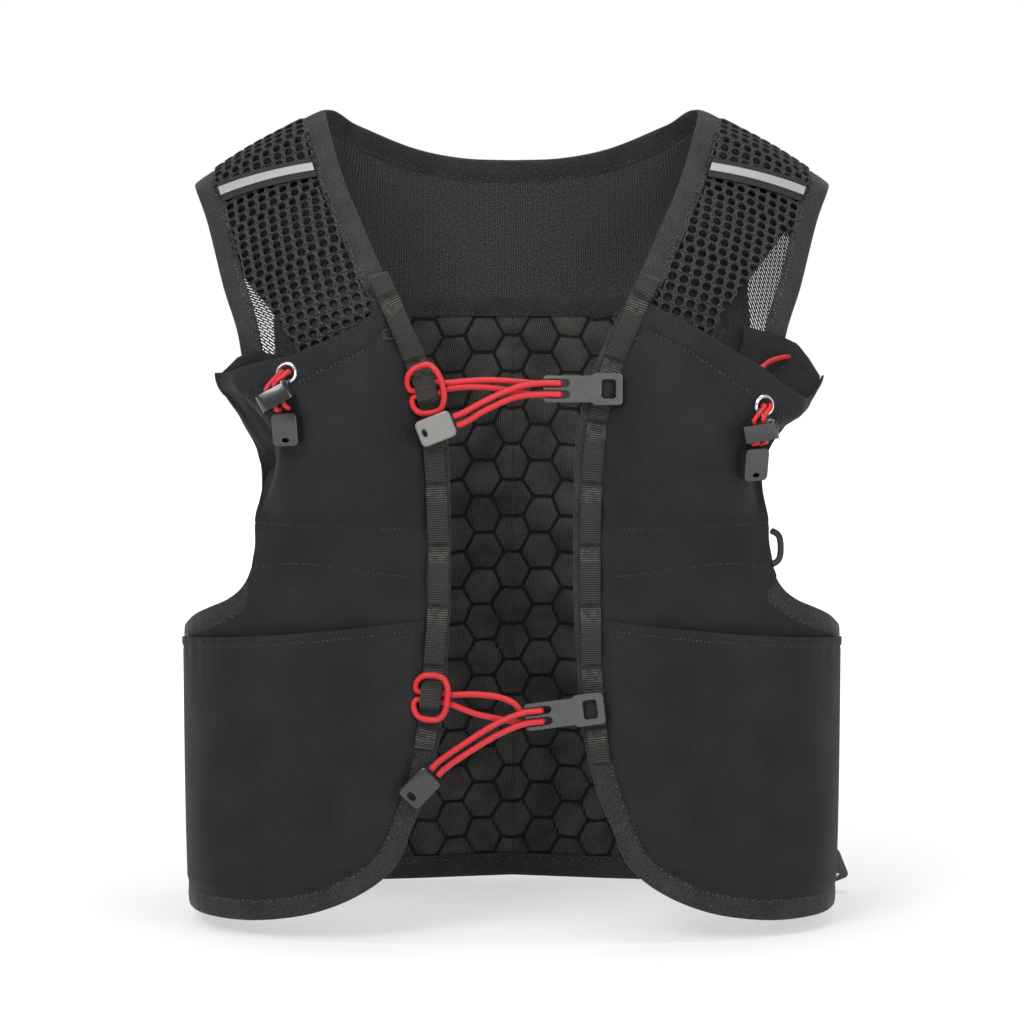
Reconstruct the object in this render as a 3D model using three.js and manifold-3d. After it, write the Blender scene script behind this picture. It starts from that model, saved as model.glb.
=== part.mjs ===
// Running hydration vest, worn shape, millimetres, +Z up, front towards -Y.
// Left and right are the sides seen from the front. Heights in the tables are
// measured from the hem line; the group is then lowered so that the origin is
// the point between the shoulders where the vest rests on its wearer.
import * as THREE from "three";
import { mergeVertices } from "three/addons/utils/BufferGeometryUtils.js";
import Module from "manifold-3d";

// Driving sizes
const SHOULDER_HEIGHT = 372;
const PANEL_WALL = 1.4;
const POCKET_WALL = 1.2;
const BACK_PAD = 4;
const STRAP_MESH = 3.6;
const YOKE_WALL = 2;
const SEAM_TAPE_WALL = 2.6;
const SEAM_TAPE_WIDTH = 11;
const BINDING_WALL = 2.6;
const BINDING_WIDTH = 12;
const EDGE_GAP = 0.5;
const ARMHOLE_GAP = 0.8;
const COLLAR_GAP = 1.3;
const LAYER_GAP = 0.5;
const STRAP_TAPE_GAP = 1;
const POCKET_INSET = 18;
const WEBBING_WIDTH = 10;
const WEBBING_WALL = 1.4;
const WEBBING_LIFT = 2;
const TAPE_WALL = 1;
const TAPE_WIDTH = 13.5;
const STRIP_WALL = 0.8;
const STRIP_WIDTH = 5.6;
const CORD = 3.4;
const CINCH_CORD = 2.4;
const CORD_SIDES = 8;
const FRONT_COLUMNS = 7;
const ARMHOLE_STEPS = 10;
const BACK_ARMHOLE_STEPS = 8;

// The worn body: half width, front half depth and back half depth by height.
const BODY = [
  { z: -20, half: 164, front: 98, back: 96 },
  { z: 40, half: 166, front: 101, back: 98 },
  { z: 90, half: 166.5, front: 102, back: 97 },
  { z: 150, half: 166, front: 102, back: 94 },
  { z: 220, half: 164, front: 101, back: 94 },
  { z: 265, half: 164, front: 97, back: 94 },
  { z: 300, half: 165, front: 89, back: 92 },
  { z: 330, half: 166, front: 77, back: 88 },
];
const BODY_POWER = 3;

// The opening's edge: x by height, the same on both sides.
const OPENING = [
  { z: 42, x: 50 },
  { z: 60, x: 42.5 },
  { z: 80, x: 37 },
  { z: 100, x: 34 },
  { z: 130, x: 31.5 },
  { z: 160, x: 30 },
  { z: 200, x: 30 },
  { z: 232, x: 31 },
  { z: 250, x: 34 },
  { z: 266, x: 38.5 },
  { z: 282, x: 45 },
  { z: 300, x: 54.5 },
];
// The hem's edge: height by x, from the rounded corner to the side seam.
const HEM = [
  { x: 50, z: 42 },
  { x: 53.5, z: 32 },
  { x: 60, z: 22 },
  { x: 71, z: 13 },
  { x: 86, z: 5 },
  { x: 104, z: -1 },
  { x: 128, z: -5 },
  { x: 150, z: -6 },
  { x: 162, z: -6 },
];
// The front armhole's edge, from the side seam to the foot of the strap.
const ARMHOLE_FRONT = [
  { x: 163, z: 141 },
  { x: 158, z: 146 },
  { x: 150, z: 150.5 },
  { x: 141, z: 155 },
  { x: 133, z: 162 },
  { x: 128, z: 173 },
  { x: 125, z: 190 },
  { x: 123, z: 215 },
  { x: 126, z: 240 },
  { x: 130, z: 260 },
  { x: 133, z: 273 },
];
// The back armhole's edge, from the back seam to the seam tape.
const ARMHOLE_BACK = [
  { x: 156, z: 132 },
  { x: 148, z: 139 },
  { x: 141, z: 150 },
  { x: 136, z: 168 },
  { x: 131, z: 195 },
  { x: 127, z: 230 },
  { x: 126, z: 265 },
  { x: 127, z: 292 },
];
const TAPE_Z = 292;

// Shoulder strap: inner and outer edge from the chest to the shoulder seam.
const STRAP = [
  { xi: 54.9, yi: -87.5, zi: 301, xo: 133.4, yo: -73.5, zo: 274, camber: 7 },
  { xi: 63.5, yi: -81, zi: 317, xo: 136.5, yo: -68, zo: 289, camber: 6 },
  { xi: 75, yi: -60, zi: 342, xo: 143.5, yo: -55, zo: 308, camber: 5 },
  { xi: 82.5, yi: -43, zi: 358, xo: 149, yo: -40, zo: 326, camber: 4 },
  { xi: 88, yi: -27, zi: 373, xo: 154.5, yo: -24, zo: 343, camber: 4 },
  { xi: 93, yi: -10, zi: 389, xo: 160, yo: -10, zo: 355.5, camber: 4 },
  { xi: 96, yi: 8, zi: 398.5, xo: 162.5, yo: 4, zo: 360, camber: 3 },
];
const STRIP_INNER_ROW = 3.85;
const STRIP_OUTER_ROW = 4.95;

// Yoke: its top line runs from the shoulder corner to the collar's middle.
const YOKE_TOP = [
  { x: 162.5, y: 4.8, z: 360 },
  { x: 129, y: 7.3, z: 382.5 },
  { x: 96, y: 8.8, z: 398.5 },
  { x: 80, y: 34, z: 392 },
  { x: 52, y: 66, z: 381 },
  { x: 26, y: 80, z: 376 },
  { x: 0, y: 84, z: 375 },
];

// Webbing: x by height. Tack heights are even steps from the top end.
const CHAIN_LEFT = [
  { z: 314, x: 65.5 },
  { z: 294.5, x: 56.3 },
  { z: 273, x: 47.4 },
  { z: 259, x: 41.6 },
  { z: 233, x: 38 },
  { z: 186, x: 35.8 },
  { z: 155, x: 36 },
  { z: 126, x: 38 },
  { z: 95, x: 41 },
  { z: 84, x: 43 },
];
const CHAIN_RIGHT = [
  { z: 313, x: 67.5 },
  { z: 303, x: 62 },
  { z: 270, x: 48.5 },
  { z: 242, x: 41.5 },
  { z: 214, x: 38.8 },
  { z: 183, x: 38 },
  { z: 150, x: 38.3 },
  { z: 121, x: 39 },
  { z: 77, x: 43 },
];
const TACK_PITCH = 29.8;
const TACK_FIRST = 303.5;
const TACKS = 8;
const HITCH_LIFT = 4;
const HITCH_Z = { upper: 258.8, lower: 109.8 };
const HOOK_LIFT = 2.6;
const HOOK_Z = { upper: 259.3, lower: 104.3 };
const CHAIN_TOP_RISE = 3;

// Hem of the sides and the back: height by share from the front seam to the
// back's middle.
const BACK_HEM = [
  { share: 0, z: -6 },
  { share: 0.2, z: -9 },
  { share: 0.5, z: -12.5 },
  { share: 0.75, z: -13 },
  { share: 1, z: -11 },
];

// Chest pocket: height of its two edges, outer x and how far it stands out.
const CHEST_POCKET = [
  { zi: 161, zo: 164, xo: 126, bulge: 0, edge: 0 },
  { zi: 176, zo: 176, xo: 126, bulge: 0.5, edge: 0 },
  { zi: 188, zo: 189, xo: 126, bulge: 3, edge: 0 },
  { zi: 204, zo: 204, xo: 123.5, bulge: 10, edge: 0.1 },
  { zi: 222, zo: 218, xo: 121.5, bulge: 15, edge: 0.25 },
  { zi: 240, zo: 232, xo: 127, bulge: 18, edge: 0.4 },
  { zi: 262, zo: 246, xo: 137, bulge: 20, edge: 0.5 },
  { zi: 282, zo: 259, xo: 146, bulge: 20, edge: 0.6 },
  { zi: 299, zo: 271, xo: 149, bulge: 15, edge: 0.7 },
];
const POCKET_SECTION = [
  { u: 0, depth: 0 },
  { u: 0.1, depth: 0.25 },
  { u: 0.25, depth: 0.8 },
  { u: 0.5, depth: 1 },
  { u: 0.7, depth: 0.97 },
  { u: 0.87, depth: 0.85 },
  { u: 1, depth: 0.7 },
];
// How far the mouth's rim dips below a straight line, by share of the width.
const RIM_DIP = { left: 5, right: 7 };
const POCKET_BASE = 2.5;
const POCKET_RIM_LIFT = 1.6;
const POCKET_BACK_FROM = 0.74;
const POCKET_BACK_ROW = 4.2;

// Lower pocket: its open top edge and how far it stands out.
const LOWER_TOP = [
  { x: 44, z: 147.5 },
  { x: 163, z: 133 },
];
const LOWER_BULGE = 7.5;
const LOWER_BASE = 2;

// Hooks: a plate with two cord slots and a frame round the webbing.
const HOOK_LENGTH = 38.5;
const HOOK_HEIGHT = 13;
const HOOK_FRAME = 13.5;
const HOOK_FRAME_HEIGHT = 15.5;
const HOOK_WALL = 3;
const HOOK_SLOT = 4.1;
const HOOK_SLOT_LENGTH = 13;
const HOOK_SLOT_SPACING = 5.4;
const HOOK_WINDOW = { width: 7, height: 9.5, radius: 1.5 };
const HOOK_TONGUE = { wall: 1.6, height: 8, reach: 12 };
const HOOKS = {
  upper: { x: 34.3, z: 259.3, off: 7.8, turn: 0 },
  lower: { x: 25.6, z: 102.6, off: 7.8, turn: 0.13 },
};
const CORD_END = { length: 18, width: 13, wall: 6, radius: 2.5, hole: 1.2 };
const CINCH_END = { length: 16, width: 13, wall: 6, radius: 2.5, hole: 1.2 };
const LOCK = { length: 17, wall: 8, height: 8.5, radius: 2.5, bore: 3.4, spacing: 4.4 };
const EYELET = { outer: 5.5, inner: 3.4, wall: 1.8 };

// Small pieces on the right side, by place
const MOUTH_CORD_SIZE = 2.4;
const SIDE_LOOP_CORD = 2.2;
const SIDE_LOOP = [
  { x: 128.1, y: -86.2, z: 190 },
  { x: 132.5, y: -85.5, z: 187.5 },
  { x: 134.5, y: -85, z: 181.5 },
  { x: 132.5, y: -85.5, z: 175.5 },
  { x: 128.6, y: -86.2, z: 173 },
];
const SIDE_END = { x: 170.5, y: 58, z: 0, turn: 1.95 };
const SIDE_CORD = [
  { x: 159, y: 56, z: 36 },
  { x: 163.5, y: 57.5, z: 29 },
  { x: 165.5, y: 58, z: 19 },
];

// Colours
const MAT = {
  shell: { color: 0x2b2b2e, roughness: 0.85, metalness: 0 },
  binding: { color: 0x343035, roughness: 0.75, metalness: 0 },
  mesh: { color: 0x4b4b48, roughness: 0.8, metalness: 0 },
  knit: { color: 0x232421, roughness: 0.9, metalness: 0 },
  hex: { color: 0x2d2d2c, roughness: 0.85, metalness: 0 },
  webbing: { color: 0x32322e, roughness: 0.75, metalness: 0 },
  tape: { color: 0x1c1c1d, roughness: 0.7, metalness: 0 },
  silver: { color: 0xc8cbcb, roughness: 0.35, metalness: 0.2 },
  red: { color: 0xee3c46, roughness: 0.6, metalness: 0 },
  black: { color: 0x141415, roughness: 0.35, metalness: 0 },
  grey: { color: 0x4b4d4d, roughness: 0.45, metalness: 0 },
  endcap: { color: 0x4a4b48, roughness: 0.5, metalness: 0 },
  metal: { color: 0xd0d2d4, roughness: 0.25, metalness: 1 },
};

const V = (x, y, z) => new THREE.Vector3(x, y, z);
const SIDES = [
  { side: "left", s: -1 },
  { side: "right", s: 1 },
];
const vest = new THREE.Group();
vest.position.z = -SHOULDER_HEIGHT;

// A smooth value between the rows of a table, by one of its columns.
function between(a, b, t) {
  return a + (b - a) * t;
}

function smoothRow(rows, keys, position) {
  const last = rows.length - 1;
  const i = Math.min(last - 1, Math.max(0, Math.floor(position)));
  const t = position - i;
  const row = (k) => rows[Math.min(last, Math.max(0, k))];
  const result = {};
  for (const key of keys) {
    const p1 = row(i)[key];
    const p2 = row(i + 1)[key];
    const p0 = i > 0 ? row(i - 1)[key] : 2 * p1 - p2;
    const p3 = i < last - 1 ? row(i + 2)[key] : 2 * p2 - p1;
    const m1 = (p2 - p0) / 2;
    const m2 = (p3 - p1) / 2;
    const t2 = t * t;
    const t3 = t2 * t;
    result[key] = (2 * t3 - 3 * t2 + 1) * p1 + (t3 - 2 * t2 + t) * m1
      + (3 * t2 - 2 * t3) * p2 + (t3 - t2) * m2;
  }
  return result;
}

function positionOf(rows, key, value) {
  const rising = rows[rows.length - 1][key] > rows[0][key];
  for (let i = 0; i < rows.length - 1; i += 1) {
    const a = rows[i][key];
    const b = rows[i + 1][key];
    const inside = rising ? value <= b : value >= b;
    if (inside || i === rows.length - 2) return i + (value - a) / (b - a);
  }
  return 0;
}

function valueAt(rows, key, value, wanted) {
  const last = rows.length - 1;
  const position = Math.min(last, Math.max(0, positionOf(rows, key, value)));
  return smoothRow(rows, [wanted], position)[wanted];
}

// The body's outline at one height: from the front's middle round the side
// to the back's middle, measured along the cloth.
const OUTLINE_STEPS = 240;
const outlines = new Map();

function outlineAt(z) {
  const name = z.toFixed(2);
  if (outlines.has(name)) return outlines.get(name);
  const position = Math.min(BODY.length - 1, Math.max(0, positionOf(BODY, "z", z)));
  const body = smoothRow(BODY, ["half", "front", "back"], position);
  const power = 2 / BODY_POWER;
  const points = [];
  let length = 0;
  for (let i = 0; i <= OUTLINE_STEPS; i += 1) {
    const angle = (Math.PI * (1 - Math.cos((Math.PI * i) / OUTLINE_STEPS))) / 2;
    const c = Math.cos(angle);
    const x = body.half * Math.abs(Math.sin(angle)) ** power;
    const y = c > 0 ? -body.front * c ** power : body.back * (-c) ** power;
    const p = { x, y, at: 0 };
    if (i > 0) length += Math.hypot(x - points[i - 1].x, y - points[i - 1].y);
    p.at = length;
    points.push(p);
  }
  const outline = { points, length };
  outlines.set(name, outline);
  return outline;
}

function bodyXY(along, z) {
  const { points } = outlineAt(z);
  let low = 0;
  let high = points.length - 1;
  while (high - low > 1) {
    const mid = (low + high) >> 1;
    if (points[mid].at > along) high = mid;
    else low = mid;
  }
  const a = points[low];
  const b = points[high];
  const t = (along - a.at) / (b.at - a.at);
  return { x: between(a.x, b.x, t), y: between(a.y, b.y, t) };
}

// The length along the outline where it reaches x, on the front or the back.
function alongAt(x, z, back = false) {
  const { points, length } = outlineAt(z);
  const order = back ? [...points].reverse() : points;
  for (let i = 1; i < order.length; i += 1) {
    const a = order[i - 1];
    const b = order[i];
    if (b.x >= x) return between(a.at, b.at, (x - a.x) / (b.x - a.x));
    if (b.x < a.x) return a.at;
  }
  return length;
}

// A point of the cloth, given along the outline, by height and off the body.
function bodyPoint(s, along, z, off = 0) {
  const h = 1;
  const at = (a, q) => {
    const p = bodyXY(a, q);
    return V(s * p.x, p.y, q);
  };
  const p = at(along, z);
  if (off === 0) return p;
  const across = at(along + h, z).sub(at(along - h, z));
  const up = at(along, z + h).sub(at(along, z - h));
  const normal = across.cross(up).normalize().multiplyScalar(s);
  return p.addScaledVector(normal, off);
}

// The same flat curve, as [along, z], moved sideways in the cloth.
function insetCurve(curve, distanceAt) {
  return (t) => {
    const distance = typeof distanceAt === "function" ? distanceAt(t) : distanceAt;
    const h = 0.002;
    const p = curve(t);
    const q0 = curve(Math.max(0, t - h));
    const q1 = curve(Math.min(1, t + h));
    const dx = q1[0] - q0[0];
    const dz = q1[1] - q0[1];
    const l = Math.hypot(dx, dz);
    return [p[0] - (dz / l) * distance, p[1] + (dx / l) * distance];
  };
}

function lineCurve(p, q, sag = 0) {
  return (t) => [between(p[0], q[0], t), between(p[1], q[1], t) - sag * Math.sin(Math.PI * t)];
}

// A part of a curve, from one share of it to another.
function cut(curve, from, to) {
  return (t) => curve(between(from, to, t));
}

// Share of a curve where it reaches a height.
function shareAtZ(curve, z) {
  let best = 0;
  let error = Infinity;
  for (let i = 0; i <= 2000; i += 1) {
    const e = Math.abs(curve(i / 2000)[1] - z);
    if (e < error) {
      error = e;
      best = i / 2000;
    }
  }
  return best;
}

// The patch of cloth inside four flat curves.
function coons(left, bottom, right, top) {
  const c00 = left(0);
  const c01 = left(1);
  const c10 = right(0);
  const c11 = right(1);
  return (u, v) => [0, 1].map((k) => (1 - u) * left(v)[k] + u * right(v)[k]
    + (1 - v) * bottom(u)[k] + v * top(u)[k]
    - (1 - u) * (1 - v) * c00[k] - (1 - u) * v * c01[k]
    - u * (1 - v) * c10[k] - u * v * c11[k]);
}

// Closed bodies: a surface function point(u, v, off) thickened both ways
function buildMesh(name, positions, triangles, material) {
  const geometry = new THREE.BufferGeometry();
  const numbers = positions.flatMap((p) => [p.x, p.y, p.z]);
  geometry.setAttribute("position", new THREE.Float32BufferAttribute(numbers, 3));
  geometry.setIndex(triangles);
  orientOutwards(geometry);
  geometry.computeVertexNormals();
  const mesh = new THREE.Mesh(geometry, new THREE.MeshStandardMaterial(material));
  mesh.name = name;
  vest.add(mesh);
  return mesh;
}

function orientOutwards(geometry) {
  const p = geometry.attributes.position;
  const index = geometry.index.array;
  const [a, b, c] = [V(0, 0, 0), V(0, 0, 0), V(0, 0, 0)];
  let volume = 0;
  for (let i = 0; i < index.length; i += 3) {
    a.fromBufferAttribute(p, index[i]);
    b.fromBufferAttribute(p, index[i + 1]);
    c.fromBufferAttribute(p, index[i + 2]);
    volume += a.dot(b.cross(c));
  }
  if (volume > 0) return;
  for (let i = 0; i < index.length; i += 3) {
    const keep = index[i + 1];
    index[i + 1] = index[i + 2];
    index[i + 2] = keep;
  }
}

function clothSolid(name, columns, rows, point, thickness, material) {
  const positions = [];
  for (const sign of [0.5, -0.5]) {
    for (const v of rows) {
      for (const u of columns) positions.push(point(u, v, sign * thickness));
    }
  }
  const nu = columns.length;
  const nv = rows.length;
  const at = (layer, j, i) => layer * nu * nv + j * nu + i;
  const triangles = [];
  const quad = (a, b, c, d) => triangles.push(a, b, c, a, c, d);
  for (let j = 0; j < nv - 1; j += 1) {
    for (let i = 0; i < nu - 1; i += 1) {
      quad(at(0, j, i), at(0, j, i + 1), at(0, j + 1, i + 1), at(0, j + 1, i));
      quad(at(1, j, i), at(1, j + 1, i), at(1, j + 1, i + 1), at(1, j, i + 1));
    }
  }
  for (let i = 0; i < nu - 1; i += 1) {
    const top = nv - 1;
    quad(at(0, 0, i), at(1, 0, i), at(1, 0, i + 1), at(0, 0, i + 1));
    quad(at(0, top, i), at(0, top, i + 1), at(1, top, i + 1), at(1, top, i));
  }
  for (let j = 0; j < nv - 1; j += 1) {
    const end = nu - 1;
    quad(at(0, j, 0), at(0, j + 1, 0), at(1, j + 1, 0), at(1, j, 0));
    quad(at(0, j, end), at(1, j, end), at(1, j + 1, end), at(0, j + 1, end));
  }
  return buildMesh(name, positions, triangles, material);
}

const evenly = (steps) => Array.from({ length: steps + 1 }, (_, i) => i / steps);

// A band of cloth: each section gives points by share across it and off it.
function bandSolid(name, sections, thickness, material, ring = false) {
  const positions = [];
  const n = sections.length;
  const h = thickness / 2;
  for (const section of sections) {
    positions.push(section(0, h), section(1, h), section(1, -h), section(0, -h));
  }
  const triangles = [];
  const steps = ring ? n : n - 1;
  for (let k = 0; k < steps; k += 1) {
    const a = 4 * k;
    const b = 4 * ((k + 1) % n);
    for (let c = 0; c < 4; c += 1) {
      const d = (c + 1) % 4;
      triangles.push(a + c, a + d, b + d, a + c, b + d, b + c);
    }
  }
  if (!ring) {
    const e = 4 * (n - 1);
    triangles.push(0, 3, 2, 0, 2, 1);
    triangles.push(e, e + 1, e + 2, e, e + 2, e + 3);
  }
  return buildMesh(name, positions, triangles, material);
}

// A round cord along chosen points.
function cordSolid(name, points, diameter, steps, material) {
  const curve = new THREE.CatmullRomCurve3(points, false, "centripetal");
  const positions = [];
  const triangles = [];
  let normal = null;
  for (let k = 0; k <= steps; k += 1) {
    const t = k / steps;
    const p = curve.getPoint(t);
    const ahead = curve.getPoint(Math.min(1, t + 0.002));
    const tangent = ahead.sub(curve.getPoint(Math.max(0, t - 0.002))).normalize();
    if (!normal) {
      normal = V(0, 0, 1).cross(tangent);
      if (normal.length() < 0.1) normal = V(1, 0, 0).cross(tangent);
    }
    normal.addScaledVector(tangent, -normal.dot(tangent)).normalize();
    const side = tangent.clone().cross(normal);
    for (let c = 0; c < CORD_SIDES; c += 1) {
      const angle = (2 * Math.PI * c) / CORD_SIDES;
      positions.push(p.clone()
        .addScaledVector(normal, (Math.cos(angle) * diameter) / 2)
        .addScaledVector(side, (Math.sin(angle) * diameter) / 2));
    }
  }
  for (let k = 0; k < steps; k += 1) {
    const a = k * CORD_SIDES;
    const b = a + CORD_SIDES;
    for (let c = 0; c < CORD_SIDES; c += 1) {
      const d = (c + 1) % CORD_SIDES;
      triangles.push(a + c, a + d, b + d, a + c, b + d, b + c);
    }
  }
  const e = steps * CORD_SIDES;
  for (let c = 1; c < CORD_SIDES - 1; c += 1) {
    triangles.push(0, c + 1, c);
    triangles.push(e, e + c, e + c + 1);
  }
  return buildMesh(name, positions, triangles, material);
}

// A flat moulded piece: an outline with holes, extruded and placed by a frame.
function mouldedSolid(name, shape, depth, place, material, bevel = 0) {
  const geometry = new THREE.ExtrudeGeometry(shape, {
    depth: depth - 2 * bevel,
    bevelEnabled: bevel > 0,
    bevelThickness: bevel,
    bevelSize: bevel,
    bevelOffset: -bevel,
    bevelSegments: 1,
    curveSegments: 3,
  });
  geometry.translate(0, 0, -(depth - 2 * bevel) / 2);
  const mesh = new THREE.Mesh(geometry, new THREE.MeshStandardMaterial(material));
  mesh.name = name;
  mesh.applyMatrix4(place);
  vest.add(mesh);
  return mesh;
}

function frameAt(point, right, outward, turn = 0) {
  const z = outward.clone().normalize();
  const x = right.clone().addScaledVector(z, -right.dot(z)).normalize();
  const y = z.clone().cross(x);
  const matrix = new THREE.Matrix4().makeBasis(x, y, z).setPosition(point);
  return matrix.multiply(new THREE.Matrix4().makeRotationZ(turn));
}

function roundedRectangle(width, height, radius) {
  const shape = new THREE.Shape();
  const w = width / 2;
  const h = height / 2;
  shape.moveTo(-w + radius, -h);
  shape.lineTo(w - radius, -h);
  shape.absarc(w - radius, -h + radius, radius, -Math.PI / 2, 0, false);
  shape.lineTo(w, h - radius);
  shape.absarc(w - radius, h - radius, radius, 0, Math.PI / 2, false);
  shape.lineTo(-w + radius, h);
  shape.absarc(-w + radius, h - radius, radius, Math.PI / 2, Math.PI, false);
  shape.lineTo(-w, -h + radius);
  shape.absarc(-w + radius, -h + radius, radius, Math.PI, 1.5 * Math.PI, false);
  return shape;
}

const flatRows = (rows, back = false) => rows.map((r) => ({ a: alongAt(r.x, r.z, back), z: r.z }));

function flatCurve(flat) {
  return (t) => {
    const p = smoothRow(flat, ["a", "z"], t * (flat.length - 1));
    return [p.a, p.z];
  };
}

const SEAM_ALONG = alongAt(HEM[HEM.length - 1].x, HEM[HEM.length - 1].z);
const frontEdgeRows = flatRows([...[...OPENING].reverse(), ...HEM.slice(1)]);
const frontEdge = flatCurve(frontEdgeRows);
const CORNER_SHARE = (OPENING.length - 1) / (frontEdgeRows.length - 1);
const frontArmholeRows = flatRows(ARMHOLE_FRONT);
frontArmholeRows[0].a = SEAM_ALONG;
const frontArmhole = flatCurve(frontArmholeRows);
const backArmhole = flatCurve(flatRows(ARMHOLE_BACK, true));
const TAPE_TOP = TAPE_Z + SEAM_TAPE_WIDTH;
const SIDE_INSET = BINDING_WIDTH + EDGE_GAP;
const panelEdge = insetCurve(frontEdge, SIDE_INSET);
const ARM_INSET = BINDING_WIDTH + ARMHOLE_GAP;
const armInset = insetCurve(frontArmhole, ARM_INSET);
const backInset = insetCurve(backArmhole, -ARM_INSET);
const reverse = (curve) => (t) => curve(1 - t);
const backSeam = (z) => alongAt(ARMHOLE_BACK[0].x, z, true);
const middle = (z) => outlineAt(z).length;

// Front panels: base cloth from the hem's binding to the foot of the strap
const panelLeft = reverse(cut(panelEdge, 0, CORNER_SHARE));
const panelBottom = cut(panelEdge, CORNER_SHARE, 1);
const PANEL_SIDE_SHARE = 0.42;

function panelRight(t) {
  const top = armInset(0)[1] - 1;
  if (t < PANEL_SIDE_SHARE) {
    const z = between(panelBottom(1)[1], top, t / PANEL_SIDE_SHARE);
    return [SEAM_ALONG - EDGE_GAP, z];
  }
  return armInset((t - PANEL_SIDE_SHARE) / (1 - PANEL_SIDE_SHARE));
}

const panelPatch = coons(panelLeft, panelBottom, panelRight, lineCurve(panelLeft(1), panelRight(1)));
const panelRows = [
  ...evenly(4).map((t) => t * PANEL_SIDE_SHARE),
  ...evenly(ARMHOLE_STEPS).map((t) => between(PANEL_SIDE_SHARE, 1, t)),
].filter((v, i, all) => i === 0 || v - all[i - 1] > 1e-6);

for (const { side, s } of SIDES) {
  const point = (u, v, off) => bodyPoint(s, ...panelPatch(u, v), off);
  clothSolid(`front_panel_${side}`, evenly(FRONT_COLUMNS), panelRows, point, PANEL_WALL, MAT.shell);
}

// Front bindings: down the opening, round the corner and along the hem
for (const { side, s } of SIDES) {
  const inner = insetCurve(frontEdge, BINDING_WIDTH);
  const sections = evenly(32).map((t) => (w, off) => bodyPoint(s, ...(w === 0 ? frontEdge : inner)(t), off));
  bandSolid(`front_binding_${side}`, sections, BINDING_WALL, MAT.binding);
}

// Hem of the sides and the back, in one length
const backHemZ = (share) => valueAt(BACK_HEM, "share", share, "z");

function backHemPoint(share, up, off) {
  const s = share < 0 ? -1 : 1;
  const t = 1 - Math.abs(share);
  const z = backHemZ(t) + up;
  return bodyPoint(s, between(SEAM_ALONG + EDGE_GAP, middle(z), t), z, off);
}

{
  const sections = evenly(32).map((t) => (w, off) => backHemPoint(2 * t - 1, w * BINDING_WIDTH, off));
  bandSolid("back_hem_binding", sections, BINDING_WALL, MAT.binding);
}

// Side panels, from the front seam to the back seam
const backShareAt = (along, z) => (along - SEAM_ALONG) / (middle(z) - SEAM_ALONG);
const sideTopZ = (t) => between(ARMHOLE_FRONT[0].z, ARMHOLE_BACK[0].z, t) - 3 * Math.sin(Math.PI * t);

for (const { side, s } of SIDES) {
  const point = (u, v, off) => {
    const along = (z) => between(SEAM_ALONG + EDGE_GAP, backSeam(z) - EDGE_GAP, u);
    const low = backHemZ(backShareAt(along(0), 0)) + SIDE_INSET;
    const z = between(low, sideTopZ(u) - ARM_INSET, v);
    return bodyPoint(s, along(z), z, off);
  };
  clothSolid(`side_panel_${side}`, evenly(6), evenly(5), point, PANEL_WALL, MAT.shell);
}

// Back panel: padded mesh from the hem's binding to the seam tape
const BACK_SIDE_SHARE = 0.4;

function backHalfPatch() {
  const centre = (t) => {
    const z = between(backHemZ(1) + SIDE_INSET, TAPE_Z - EDGE_GAP, t);
    return [middle(z), z];
  };
  const edge = (t) => {
    const low = backHemZ(backShareAt(backSeam(0), 0)) + SIDE_INSET;
    const high = backInset(0)[1] - 1;
    if (t < BACK_SIDE_SHARE) {
      const z = between(low, high, t / BACK_SIDE_SHARE);
      return [backSeam(z) + EDGE_GAP, z];
    }
    const p = backInset((t - BACK_SIDE_SHARE) / (1 - BACK_SIDE_SHARE));
    return [p[0], Math.min(p[1], TAPE_Z - EDGE_GAP)];
  };
  const bottom = (t) => {
    const a = between(edge(0)[0], centre(0)[0], t);
    return [a, backHemZ(backShareAt(a, 0)) + SIDE_INSET];
  };
  return coons(edge, bottom, centre, lineCurve(edge(1), centre(1)));
}

{
  const patch = backHalfPatch();
  const point = (u, v, off) => bodyPoint(u < 0.5 ? -1 : 1, ...patch(1 - Math.abs(2 * u - 1), v), off);
  const rows = [
    ...evenly(4).map((t) => t * BACK_SIDE_SHARE),
    ...evenly(BACK_ARMHOLE_STEPS).slice(1).map((t) => between(BACK_SIDE_SHARE, 1, t)),
  ];
  clothSolid("back_panel", evenly(12), rows, point, BACK_PAD, MAT.hex);
}

// Seam tape between the back panel and the yoke
{
  const end = backArmhole(1)[0] + SIDE_INSET + 2.5;
  const sections = evenly(16).map((t) => (w, off) => {
    const share = 2 * t - 1;
    const z = between(TAPE_Z, TAPE_TOP, w);
    return bodyPoint(share < 0 ? -1 : 1, between(middle(z), end, Math.abs(share)), z, off);
  });
  bandSolid("yoke_seam_tape", sections, SEAM_TAPE_WALL, MAT.tape);
}

// Shoulder straps: surface by row along the strap and share across it
const mirrored = (p, s) => V(s * p.x, p.y, p.z);

function strapBase(k, w) {
  const r = smoothRow(STRAP, ["xi", "yi", "zi", "xo", "yo", "zo", "camber"], k);
  return { p: V(between(r.xi, r.xo, w), between(r.yi, r.yo, w), between(r.zi, r.zo, w)), camber: r.camber };
}

function strapNormal(k, w) {
  const h = 0.02;
  const k0 = Math.max(0, k - h);
  const k1 = Math.min(STRAP.length - 1, k + h);
  const along = strapBase(k1, w).p.sub(strapBase(k0, w).p);
  const across = strapBase(k, 1).p.sub(strapBase(k, 0).p);
  return across.cross(along).normalize();
}

function strapPoint(s, k, w, off = 0) {
  const { p, camber } = strapBase(k, w);
  const lift = camber * 4 * w * (1 - w);
  return mirrored(p.addScaledVector(strapNormal(k, w), lift + off), s);
}

const STRAP_ROWS = STRAP.length - 1;

function strapShare(k, inset) {
  const width = strapBase(k, 1).p.distanceTo(strapBase(k, 0).p);
  return inset / (width * 1.01);
}

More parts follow.
